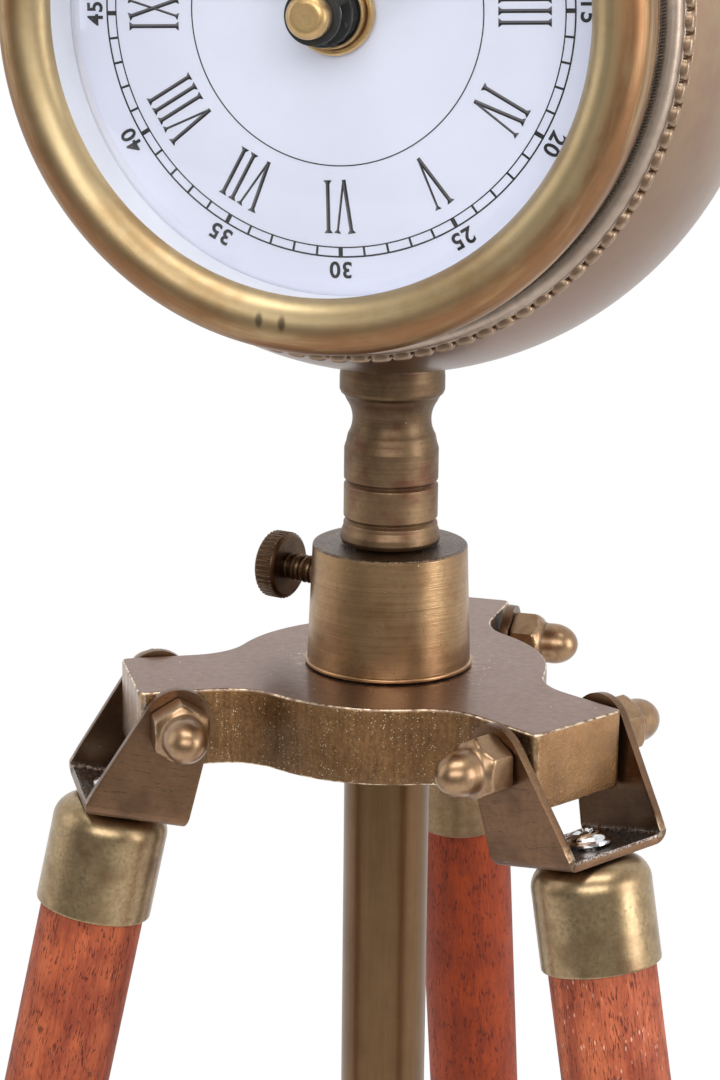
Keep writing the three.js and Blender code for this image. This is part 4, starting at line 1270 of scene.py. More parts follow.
class Bench:
    """Where meshes in millimetres become finished pieces of the clock."""

    def __init__(self) -> None:
        """Sets up the three recipes."""
        self.turning = Turning()
        self.ring_of = RingOf()
        self.thread = Thread()
        self.made = 0

    def turned(self, corners: Sequence[Corner], finish: Finish, segments: int = 96) -> Mesh:
        """A turned body from a profile of corners.

        Args:
            corners: Radius and height of each corner.
            finish: Its finish.
            segments: Sides of the round.

        Returns:
            The body.
        """
        open_ended = corners[0][0] < ON_AXIS and corners[-1][0] < ON_AXIS
        return self.turning.turn(rounded(corners, closed=not open_ended), finish, segments)

    def finish(
        self, name: str, meshes: Sequence[Mesh], place: Matrix, body: Body, slot: Slot,
        stands_for: Sequence[str], crease: float,
    ) -> None:
        """Sets meshes in their place as one piece.

        Args:
            name: The piece's name.
            meshes: Its bodies, in millimetres in the piece's own frame.
            place: From that frame to the row frame, in metres.
            body: The body that it rides on.
            slot: The record's material slot; not used.
            stands_for: The frame's nodes that it replaces.
            crease: Edges that turn by more degrees than this stay sharp.
        """
        materials: list[bpy.types.Material] = []
        whole = bmesh.new()
        for mesh in meshes:
            for material in mesh.materials:
                if material not in materials:
                    materials.append(material)
            self._add(whole, mesh, [materials.index(material) for material in mesh.materials])
        self._measure(whole)
        whole.transform(place)
        data = bpy.data.meshes.new(name)
        whole.to_mesh(data)
        whole.free()
        for material in materials:
            data.materials.append(material)
        data.shade_smooth()
        data.set_sharp_from_angle(angle=math.radians(crease))
        piece = placed(name, data)
        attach(piece, body.value)
        if stands_for:
            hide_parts(*stands_for)
        self.made += 1
        log.info("%s: %d faces", name, len(data.polygons))

    @staticmethod
    def _add(whole: bmesh.types.BMesh, mesh: Mesh, slots: Sequence[int]) -> None:
        """Adds a closed body, its doubles merged and its faces pointing out.

        Args:
            whole: The piece so far.
            mesh: The body.
            slots: The piece's number for each of the body's materials.
        """
        part = bmesh.new()
        part.from_mesh(mesh)
        bmesh.ops.remove_doubles(part, verts=part.verts, dist=DOUBLE)
        if part.calc_volume(signed=True) < 0.0:
            bmesh.ops.reverse_faces(part, faces=part.faces)
        for face in part.faces:
            face.material_index = slots[face.material_index] if slots else 0
        settled = bpy.data.meshes.new("settled")
        part.to_mesh(settled)
        part.free()
        whole.from_mesh(settled)

    @staticmethod
    def _measure(whole: bmesh.types.BMesh) -> None:
        """Notes each vertex's place on the piece, and how far its edges stick out or sink in.

        Args:
            whole: The piece.
        """
        form = whole.verts.layers.float_vector.new("form")
        wear = whole.verts.layers.float.new("wear")
        quiet, full = math.radians(7.0), math.radians(24.0)
        for vertex in whole.verts:
            vertex[form] = vertex.co
            pairs = [edge for edge in vertex.link_edges if len(edge.link_faces) == 2]
            angles = [edge.calc_face_angle_signed(0.0) for edge in pairs]
            out = min(1.0, max(0.0, (max(angles, default=0.0) - quiet) / (full - quiet)))
            sunk = min(1.0, max(0.0, (-min(angles, default=0.0) - quiet) / (full - quiet)))
            vertex[wear] = out - sunk


@dataclass(frozen=True)
class Places:
    """Where the sub-assemblies stand, read from the frame."""

    mast: Matrix
    head: Matrix
    clamp: Matrix
    # For each leg its pivot's frame in metres, and the lean and scale from there to its own.
    legs: dict[str, tuple[Matrix, Matrix]]

    @classmethod
    def read(cls, splay: float) -> "Places":
        """Reads the places off the joints and the plate.

        Args:
            splay: Lean of a leg from upright, in degrees.

        Returns:
            The places, as matrices from each sub-assembly's millimetres to the row frame.
        """
        joints = {joint["name"]: joint for joint in frame["joints"]}
        size = Matrix.Scale(MM, 4)
        centre = Vector(joints["minute_spin"]["pos_m"])
        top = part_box("tripod_plate")[1].z
        mast = Matrix.Translation((centre.x, centre.y, top)) @ size
        head = Matrix.Translation(centre) @ Matrix.Rotation(math.radians(-90), 4, "X") @ size
        screw = joints["clamp_turn"]
        outwards = Vector(screw["axis"]).to_track_quat("Z", "Y").to_matrix().to_4x4()
        clamp = Matrix.Translation(Vector(screw["pos_m"])) @ outwards @ size
        legs = {}
        for side in ("right", "left", "back"):
            joint = joints[f"leg_{side}_fold"]
            bolt = -Vector(joint["axis"])
            turn = Matrix.Rotation(math.atan2(bolt.y, bolt.x), 4, "Z")
            lean = Matrix.Rotation(math.radians(splay), 4, "X")
            legs[side] = (Matrix.Translation(Vector(joint["pos_m"])) @ turn, lean @ size)
        return cls(mast, head, clamp, legs)


@dataclass
class Work:
    """A sub-assembly: the bench, and the frame and the body that most of its pieces share."""

    bench: Bench
    place: Matrix
    body: Body

    def add(self, name: str, meshes: Mesh | list[Mesh], slot: Slot, *nodes: str,
            body: Body | None = None, place: Matrix | None = None, crease: float = 38.0) -> None:
        """Finishes one piece.

        Args:
            name: The piece's name.
            meshes: Its bodies, in millimetres.
            slot: The record's material slot.
            nodes: The frame's nodes that it replaces.
            body: What it rides on, if not the sub-assembly's body.
            place: Its frame, if not the sub-assembly's.
            crease: Edges that turn by more degrees than this stay sharp.
        """
        whole = meshes if isinstance(meshes, list) else [meshes]
        where = self.place if place is None else place
        self.bench.finish(name, whole, where, body or self.body, slot, nodes, crease)


@dataclass
class CaseWork(Work):
    """The drum of the clock: barrel, bands, rolled bezel, glass and rear cover."""

    radius: float = 51.5
    end_radius: float = 46.2
    half_length: float = 24.2
    wall: float = 1.2
    lip_radius: float = 41.5
    lip_front: float = 9.0
    lip_rear: float = 4.8
    seat: float = 1.5
    band_width: float = 3.9
    bead_row: float = 1.9
    bead_root: float = 45.5
    bead_tip: float = 46.45
    bead_count: int = 96
    bead_power: float = 3.0
    shoulder: float = 45.2
    band_round: float = 1.4
    groove: float = 44.5
    knurl_width: float = 2.9
    knurl_root: float = 43.1
    knurl_tip: float = 43.7
    knurl_teeth: int = 640
    roll_radius: float = 3.85
    roll_centre: float = 39.6
    roll_plane: float = -36.6
    skirt_radius: float = 43.1
    ring_outer: float = 39.1
    ring_inner: float = 36.9
    ring_depth: float = 6.9
    glass_thickness: float = 1.2
    glass_rise: float = 6.2
    dome_radius: float = 35.2
    dial_front: float = -28.4
    cover_skirt: float = 43.4
    cover_depth: float = 6.5
    cover_crown: float = 3.0
    cover_rim: float = 44.2
    rim_width: float = 1.6
    segments: int = 192

    @property
    def sleeve(self) -> float:
        """Bore of what slips over the lips."""
        return self.lip_radius + GAP

    @property
    def band_back(self) -> float:
        """Rear face of the beaded band."""
        return -self.half_length - GAP

    @property
    def knurl_front(self) -> float:
        """Front face of the knurled band."""
        return self.band_back - self.band_width - GAP - self.knurl_width

    def build(self) -> None:
        """Builds and dresses the drum."""
        self.add("barrel", self.barrel(), Slot.ANTIQUE, "case_shell")
        self.add("bead_band", self.bead_band(), Slot.ANTIQUE, "beaded_band")
        self.add("knurl_band", self.knurl_band(), Slot.DARK, "knurled_band")
        self.add("rolled_bezel", self.bezel(), Slot.POLISHED, "bezel_ring")
        self.add("crystal", self.crystal(), Slot.GLASS, "glass")
        self.add("dial_surround", self.surround(), Slot.DIAL, "dial_ring")
        self.add("back_lid", self.cover(), Slot.ANTIQUE, "rear_cover", body=Body.BACK_COVER)

    def bow(self, inset: float, steps: int = 28) -> list[Corner]:
        """The barrel's curve, set in by a wall.

        Args:
            inset: How far inside the outer face.
            steps: Number of steps.

        Returns:
            Its corners.
        """
        end = self.end_radius - inset
        half = self.half_length - inset
        return bowed((end, -half), (end, half), self.radius - self.end_radius, steps)

    def barrel(self) -> Mesh:
        """The shell, with a thinner lip at each end and the seat of the dial inside.

        Returns:
            The mesh.
        """
        lip, inner = self.lip_radius, self.lip_radius - self.wall
        half = self.half_length
        # The dial lies on this ledge.
        ledge = self.dial_front + 1.3
        outside = self.bow(0.0)
        first, last = outside[0], outside[-1]
        corners = [
            (inner, -half - self.lip_front), (lip, -half - self.lip_front, 0.2), (lip, -half, 0.2),
            (*first, 0.25), *outside[1:-1], (*last, 0.7), (lip, half, 0.2),
            (lip, half + self.lip_rear, 0.2), (inner, half + self.lip_rear), (inner, half - self.wall),
            *reversed(self.bow(self.wall, 12)), (inner - self.seat, self.wall - half),
            (inner - self.seat, ledge), (inner, ledge),
        ]
        return self.bench.turned(corners, Palette.case, self.segments)

    def bead_band(self) -> list[Mesh]:
        """The band with its rounded shoulder, and the row of beads behind it.

        Returns:
            Its bodies.
        """
        back, front = self.band_back, self.band_back - self.band_width
        row = back - self.bead_row
        corners = [
            (self.sleeve, front),
            *arc(self.shoulder - self.band_round, front + self.band_round, self.band_round, -90, 0, 10),
            (self.groove + 0.1, row - 0.3, 0.15), (self.groove - 0.2, row - 0.25, 0.1),
            (self.groove - 0.2, row - 0.05, 0.1), (self.bead_root - 0.1, row, 0.2),
            (self.bead_root, back, 0.3), (self.sleeve, back),
        ]
        band = self.bench.turned(corners, Palette.roll, self.segments)
        pitch = math.tau * self.bead_tip / self.bead_count
        bead = self.bead(pitch * 0.94, self.bead_row)
        row_centre = (row + back) / 2
        beads = self.bench.ring_of.run(bead, Palette.beads, Count=self.bead_count, Radius=self.bead_root)
        beads.transform(Matrix.Translation((0.0, 0.0, row_centre)))
        return [band, beads]

    def bead(self, length: float, width: float) -> Mesh:
        """One bead: a round-edged pillow that stands on the band, long way round.

        Args:
            length: Its size round the band.
            width: Its size along the axis.

        Returns:
            The mesh.
        """
        rise = self.bead_tip - self.bead_root
        power = self.bead_power
        rings = [(0.0, -0.3), (1.0, -0.3)]
        shares = (0.0, 0.35, 0.6, 0.8, 0.93)
        rings += [((1.0 - share**power) ** (1.0 / power), rise * share) for share in shares]
        rings.append((0.0, rise))

        def pillow(angle: float, share: float, _height: float) -> float:
            """The ring's radius, drawn out to a rectangle with round corners.

            Args:
                angle: Direction from its middle.
                share: The ring's size, up to 1.
                _height: The ring's height, which doesn't matter.

            Returns:
                The radius.
            """
            across = abs(math.cos(angle)) / (width / 2)
            along = abs(math.sin(angle)) / (length / 2)
            return share / (across**power + along**power) ** (1.0 / power)

        mesh = ringed(rings, pillow, 20, Palette.beads)
        mesh.transform(Matrix.Rotation(math.radians(90), 4, "Y"))
        return mesh

    def knurl_band(self) -> list[Mesh]:
        """A ring and the pointed teeth on it.

        Returns:
            Its bodies.
        """
        front = self.knurl_front
        back = front + self.knurl_width
        corners = [
            (self.sleeve, front), (self.knurl_root, front, 0.15), (self.knurl_root, back, 0.15),
            (self.sleeve, back),
        ]
        ring = self.bench.turned(corners, Palette.knurl, self.segments)
        half = math.pi * self.knurl_root / self.knurl_teeth * 0.9
        rise = (self.knurl_tip - self.knurl_root) * 0.7
        section = [(-0.2, -half), (rise, -half * 0.15), (rise, half * 0.15), (-0.2, half)]
        tooth = prism(section, front + 0.15, back - 0.15, Palette.knurl)
        teeth = self.bench.ring_of.run(tooth, Palette.knurl, Count=self.knurl_teeth, Radius=self.knurl_root)
        return [ring, teeth]

    def bezel(self) -> Mesh:
        """The rolled rim over the glass.

        Returns:
            The mesh.
        """
        rear = self.knurl_front - GAP
        lip_front = -self.half_length - self.lip_front - GAP
        glass_front = self.dial_front - GAP - self.ring_depth - GAP - self.glass_thickness - GAP
        ring = self.ring_outer + GAP
        corners = [
            *arc(self.roll_centre, self.roll_plane, self.roll_radius, -165, 36, 30),
            (self.skirt_radius, rear - 1.2, 0.4), (self.skirt_radius, rear, 0.3), (self.sleeve, rear),
            (self.sleeve, lip_front), (ring, lip_front), (ring, glass_front),
            (self.roll_centre - self.roll_radius + 0.6, glass_front, 0.2),
        ]
        return self.bench.turned(corners, Palette.bezel, self.segments)

    def crystal(self) -> Mesh:
        """The domed glass.

        Returns:
            The mesh.
        """
        back = self.dial_front - GAP - self.ring_depth - GAP
        front = back - self.glass_thickness
        sphere = (self.dome_radius**2 + self.glass_rise**2) / (2 * self.glass_rise)
        spread = math.degrees(math.asin(self.dome_radius / sphere))
        centre = front - self.glass_rise + sphere
        outside = arc(0.0, centre, sphere, -90, spread - 90, 20)
        inside = arc(0.0, centre, sphere - self.glass_thickness, -90, spread - 90, 20)
        outside[0] = (0.0, outside[0][1])
        inside[0] = (0.0, inside[0][1])
        rim = [
            (self.ring_outer, front, 0.2), (self.ring_outer, back, 0.2), (self.dome_radius - 0.5, back),
        ]
        return self.bench.turned([*outside, *rim, *reversed(inside[:-1])], Palette.crystal, 128)

    def surround(self) -> Mesh:
        """The white ring between the dial and the glass.

        Returns:
            The mesh.
        """
        back = self.dial_front - GAP
        front = back - self.ring_depth
        corners = [
            (self.ring_inner, front, 0.4), (self.ring_outer, front), (self.ring_outer, back),
            (self.ring_inner, back),
        ]
        return self.bench.turned(corners, Palette.spacer, 160)

    def cover(self) -> list[Mesh]:
        """The push-on lid at the back, spun from sheet.

        Returns:
            Its bodies.
        """
        front = self.half_length + GAP
        back = front + self.cover_depth
        crown, skirt = self.cover_crown, self.cover_skirt
        sphere = (skirt**2 + crown**2) / (2 * crown)
        spread = math.degrees(math.asin((skirt - 1.0) / sphere))
        centre = back + crown - sphere
        outside = arc(0.0, centre, sphere, 90 - spread, 90, 14)
        inside = arc(0.0, centre, sphere - 1.2, 90 - spread + 1.5, 90, 10)
        outside[-1] = (0.0, outside[-1][1])
        inside[-1] = (0.0, inside[-1][1])
        seat = self.half_length + self.lip_rear + GAP
        corners = [
            *inside[::-1], (self.sleeve, seat), (self.sleeve, front), (self.cover_rim, front, 0.35),
            (self.cover_rim, front + self.rim_width, 0.4), (skirt, front + self.rim_width + 0.5, 0.3),
            (skirt, back - 0.2, 0.9), *outside,
        ]
        return [self.bench.turned(corners, Palette.case, self.segments)]


@dataclass
class DialFace(Work):
    """The dial and its print: minute track, numerals, minute numbers and the inner circle."""

    front: float = -28.4
    thickness: float = 1.0
    radius: float = 40.0
    hole: float = 4.3
    print_turn: float = 1.9
    ink: float = 0.03
    track_outer: float = 31.75
    track_inner: float = 30.5
    inner_circle: float = 19.8
    numeral_foot: float = 21.7
    numeral_top: float = 28.65
    stem: float = 0.52
    hair: float = 0.3
    flare: float = 0.55
    pitch: float = 1.46
    vee: float = 1.98
    cross: float = 2.2
    ridge: float = 0.09
    digit_radius: float = 33.36
    digit_height: float = 2.1
    # Of a figure: its height as a share of the type's size, its spacing, and what thickens it.
    digit_share: float = 0.70
    digit_space: float = 1.12
    digit_weight: float = 0.07
    numerals: tuple[str, ...] = ("XII", "I", "II", "III", "IV", "V", "VI", "VII", "VIII", "IX", "X", "XI")

    def build(self) -> None:
        """Builds and dresses the dial."""
        self.add("dial_disc", self.disc(), Slot.DIAL, "dial_plate")
        self.add("minute_track", self.track(), Slot.BLACK)
        self.add("roman_numerals", self.roman(), Slot.BLACK, crease=10.0)
        self.add("minute_numbers", self.digits(), Slot.BLACK)

    def disc(self) -> Mesh:
        """The plate that carries the print.

        Returns:
            The mesh.
        """
        back = self.front + self.thickness
        corners = [
            (self.hole, self.front), (self.radius, self.front, 0.2), (self.radius, back, 0.2),
            (self.hole, back),
        ]
        return self.bench.turned(corners, Palette.dial, 160)

    def ring(self, radius: float, width: float) -> Mesh:
        """A printed circle.

        Args:
            radius: Its radius.
            width: Its width.

        Returns:
            The circle.
        """
        half, front = width / 2, self.front - self.ink
        corners = [
            (radius - half, front), (radius + half, front), (radius + half, self.front),
            (radius - half, self.front),
        ]
        return self.bench.turned(corners, Palette.ink, 192)

    def track(self) -> list[Mesh]:
        """The railway track of the minutes, heavier at the fives, and the inner circle.

        Returns:
            Its bodies.
        """
        circles = ((self.track_outer, 0.22), (self.track_inner, 0.17), (self.inner_circle, 0.16))
        rings = [self.ring(radius, width) for radius, width in circles]
        middle = (self.track_outer + self.track_inner) / 2
        half = (self.track_outer - self.track_inner) / 2
        start = math.radians(90 - self.print_turn)
        ticks = []
        for count, width, lift in ((60, 0.3, 1.25), (12, 0.58, 1.5)):
            outline = [(-half, -width / 2), (half, -width / 2), (half, width / 2), (-half, width / 2)]
            tick = prism(outline, self.front - lift * self.ink, self.front, Palette.ink)
            ticks.append(self.bench.ring_of.run(tick, Palette.ink, Count=count, Radius=middle, Start=start))
        return rings + ticks

    def _at(self, angle: float, u: float, v: float, lift: float) -> Triple:
        """A place on the dial: u to the right and v outwards on the ray at a clockwise angle from 12.

        Args:
            angle: Direction of the ray, in degrees.
            u: Distance to its right.
            v: Distance along it.
            lift: Height over the dial.

        Returns:
            The place in the head's frame.
        """
        turn = math.radians(angle - self.print_turn)
        # The head's frame has X to the right and Y down, seen from the front.
        x = v * math.sin(turn) + u * math.cos(turn)
        y = -v * math.cos(turn) + u * math.sin(turn)
        return (x, y, self.front - lift)

    def strokes(self, text: str) -> list[tuple[Point, Point, float, float]]:
        """The strokes of a Roman numeral.

        Args:
            text: The numeral's letters.

        Returns:
            Each stroke's ends, as distance along the numeral and height, and its widths there.
        """
        height = self.numeral_top - self.numeral_foot
        widths = {"I": 0.0, "V": self.vee, "X": self.cross}
        gaps = [self.pitch if a == b == "I" else self.pitch * 0.84 for a, b in zip(text, text[1:])]
        total = sum(widths[letter] for letter in text) + sum(gaps)
        left = -total / 2
        found: list[tuple[Point, Point, float, float]] = []

        def stem(foot: Point, top: Point, width: float, flare_foot: bool, flare_top: bool) -> None:
            """Adds a stroke and the flares at its ends.

            Args:
                foot: Its inner end.
                top: Its outer end.
                width: Its width.
                flare_foot: Whether the foot has a flare.
                flare_top: Whether the top has one.
            """
            found.append((foot, top, width, width))
            along = Vector((top[0] - foot[0], top[1] - foot[1])).normalized() * 0.45
            for end, sign, wanted in ((foot, 1, flare_foot), (top, -1, flare_top)):
                if wanted:
                    inside = (end[0] + sign * along.x, end[1] + sign * along.y)
                    found.append((inside, end, width, width + self.flare + 0.12))

        for i, letter in enumerate(text):
            right = left + widths[letter]
            if letter == "I":
                stem((left, 0.0), (left, height), self.stem, True, True)
            elif letter == "V":
                middle = (left + right) / 2
                stem((middle, -0.1), (left, height), self.stem, False, True)
                stem((middle + 0.05, 0.0), (right, height), self.hair, False, True)
            else:
                stem((right, 0.0), (left, height), self.stem, True, True)
                stem((left, 0.0), (right, height), self.hair, True, True)
            left = right + (gaps[i] if i < len(gaps) else 0.0)
        return found

    def roman(self) -> list[Mesh]:
        """The numerals, each stroke a low roof whose face towards the upper left takes a lighter ink, as
        painted light.

        Returns:
            Its bodies.
        """
        meshes = []
        for hour, text in enumerate(self.numerals):
            for foot, top, low_width, top_width in self.strokes(text):
                meshes.append(self._roof(hour * 30.0, foot, top, low_width / 2, top_width / 2))
        return meshes

    def _roof(self, angle: float, foot: Point, top: Point, low: float, high: float) -> Mesh:
        """One stroke as a low roof on the dial.

        Args:
            angle: The numeral's direction, in degrees.
            foot: The stroke's inner end.
            top: Its outer end.
            low: Half its width at the foot.
            high: Half its width at the top.

        Returns:
            The mesh.
        """
        start, end = Vector(foot), Vector(top)
        along = (end - start).normalized()
        side = Vector((-along.y, along.x))
        base = self.numeral_foot
        flat = [
            start + side * low, start - side * low, end - side * high, end + side * high,
            start + along * min(low, 0.2), end - along * min(high, 0.08),
        ]
        lifts = [self.ink] * 4 + [self.ridge] * 2
        points = [self._at(angle, p.x, base + p.y, lift) for p, lift in zip(flat, lifts)]
        points += [self._at(angle, p.x, base + p.y, 0.0) for p in flat[:4]]
        faces = [(1, 2, 5, 4), (3, 0, 4, 5), (0, 1, 4), (2, 3, 5), (9, 8, 7, 6)]
        faces += [(i, 6 + i, 6 + (i + 1) % 4, (i + 1) % 4) for i in range(4)]
        mesh = mesh_of(points, faces, Palette.ink)
        mesh.materials.append(Palette.ink_light.material())
        # Painted light: the roof face that looks towards the upper left, where the light is taken to come
        # from, gets the lighter ink.
        left_edge = Vector(self._at(angle, side.x, side.y, 0.0)) - Vector(self._at(angle, 0.0, 0.0, 0.0))
        lit = left_edge.dot(Vector((-0.6, -0.8, 0.0))) > 0.0
        mesh.polygons[1 if lit else 0].material_index = 1
        return mesh

    def digits(self) -> list[Mesh]:
        """The minute numbers at the fives, their tops outwards.

        Returns:
            Its bodies.
        """
        meshes = []
        for minute in range(5, 65, 5):
            curve = bpy.data.curves.new("number", "FONT")
            curve.body = str(minute)
            curve.size = self.digit_height / self.digit_share
            curve.align_x = "CENTER"
            curve.align_y = "CENTER"
            curve.space_character = self.digit_space
            curve.extrude = self.ink
            curve.offset = self.digit_weight
            mesh = evaluated(curve)
            angle = minute * 6.0
            for vertex in mesh.vertices:
                lift = self.ink + vertex.co.z
                vertex.co = self._at(angle, vertex.co.x, self.digit_radius + vertex.co.y, lift)
            mesh.materials.clear()
            mesh.materials.append(Palette.ink.material())
            meshes.append(mesh)
        return meshes


@dataclass
class HandWork(Work):
    """The hub of the dial: fixing nut, hour and minute hands and the small cap."""

    dial_front: float = -28.4
    nut_radius: float = 5.55
    nut_bore: float = 4.3
    hour_rise: float = 6.2
    minute_rise: float = 9.8
    hour_hub: float = 4.2
    minute_hub: float = 3.75
    hour_length: float = 19.0
    minute_length: float = 27.5
    hour_width: float = 3.6
    minute_width: float = 3.0
    hour_angle: float = 305.0
    minute_angle: float = 60.0
    thickness: float = 0.6
    pipe_radius: float = 2.5
    arbor_radius: float = 1.2
    cap_radius: float = 2.85
    cap_height: float = 2.5
    cap_flat: float = 2.15
    cap_hole: float = 1.9

    def build(self) -> None:
        """Builds and dresses the hub and the hands."""
        self.add("centre_nut", self.nut(), Slot.POLISHED, "fixing_nut")
        hour = self.hand(self.hour_rise, self.hour_hub, self.hour_length, self.hour_width, self.hour_angle,
                         self.pipe_radius + GAP, 6)
        self.add("hour_pointer", hour, Slot.BLACK, "hour_hand", body=Body.HOUR)
        minute = self.hand(self.minute_rise, self.minute_hub, self.minute_length, self.minute_width,
                           self.minute_angle, self.arbor_radius + GAP, 0)
        self.add("minute_pointer", minute, Slot.BLACK, "minute_hand", body=Body.MINUTE)
        self.add("hub_cap", self.cap(), Slot.POLISHED, "hand_cap", body=Body.MINUTE)

    def nut(self) -> Mesh:
        """The round nut on the bushing: a broad base with a collar.

        Returns:
            The mesh.
        """
        back = self.dial_front - GAP
        corners = [
            (self.nut_bore, back), (self.nut_radius, back, 0.1), (self.nut_radius, back - 1.2, 0.45),
            (self.nut_radius - 0.75, back - 1.2, 0.15), (self.nut_radius - 0.8, back - 0.5, 0.08),
            (self.nut_bore + 0.32, back - 0.5, 0.08), (self.nut_bore + 0.3, back - 2.6, 0.12),
            (self.nut_bore, back - 2.6),
        ]
        return self.bench.turned(corners, Palette.gold, 96)

    def hand(self, rise: float, hub: float, length: float, width: float, angle: float,
             bore: float, rivets: int) -> list[Mesh]:
        """A hand: a round hub, a leaf-shaped blade, and raised rivets on the hub.

        Args:
            rise: Height of its front over the dial.
            hub: Radius of the hub.
            length: Reach of the tip.
            width: Width of the leaf.
            angle: Where it points, clockwise from 12.
            bore: Radius of its hole.
            rivets: Number of rivets.

        Returns:
            Its bodies.
        """
        front = self.dial_front - rise
        back = front + self.thickness
        disc = [(bore, front, 0.05), (hub, front, 0.2), (hub, back, 0.1), (bore, back)]
        shape = [(0.22, hub * 0.8), (0.16, length * 0.55), (0.36, length * 0.62), (0.5, length * 0.69),
                 (0.38, length * 0.76), (0.12, length * 0.84), (0.015, length)]
        right = [(share * width, reach) for share, reach in shape]
        outline = right + [(-x, y) for x, y in reversed(right)]
        turn = math.radians(angle)
        sine, cosine = math.sin(turn), math.cos(turn)
        pointed = [(x * cosine + y * sine, x * sine - y * cosine) for x, y in outline]
        blade = softened(prism(pointed, front + 0.05, back - 0.05, Palette.hand), 0.08, 1)
        bodies = [self.bench.turned(disc, Palette.hand, 96), blade]
        if rivets:
            shape = ((0.0, 0.2), (0.42, 0.2), (0.42, 0.0), (0.34, -0.17), (0.18, -0.26), (0.0, -0.3))
            dome = [(radius, front + height) for radius, height in shape]
            rivet = ringed(dome, lambda _angle, radius, _height: radius, 12, Palette.hand)
            reach = (hub + bore) / 2 + 0.1
            ring = self.bench.ring_of.run(rivet, Palette.hand, Count=rivets, Radius=reach, Start=0.35)
            bodies.append(ring)
        return bodies

    def cap(self) -> Mesh:
        """The cap pressed on the arbor, its front a shallow dish.

        Returns:
            The mesh.
        """
        back = self.dial_front - self.minute_rise - GAP
        front = back - self.cap_height
        bore = self.arbor_radius + GAP
        corners = [
            (0.0, front), (self.cap_flat, front, 1.0), (self.cap_radius, front + 0.75, 0.9),
            (self.cap_radius, back, 0.15), (bore, back), (bore, back - self.cap_hole),
            (0.0, back - self.cap_hole),
        ]
        return self.bench.turned(corners, Palette.gold, 96)


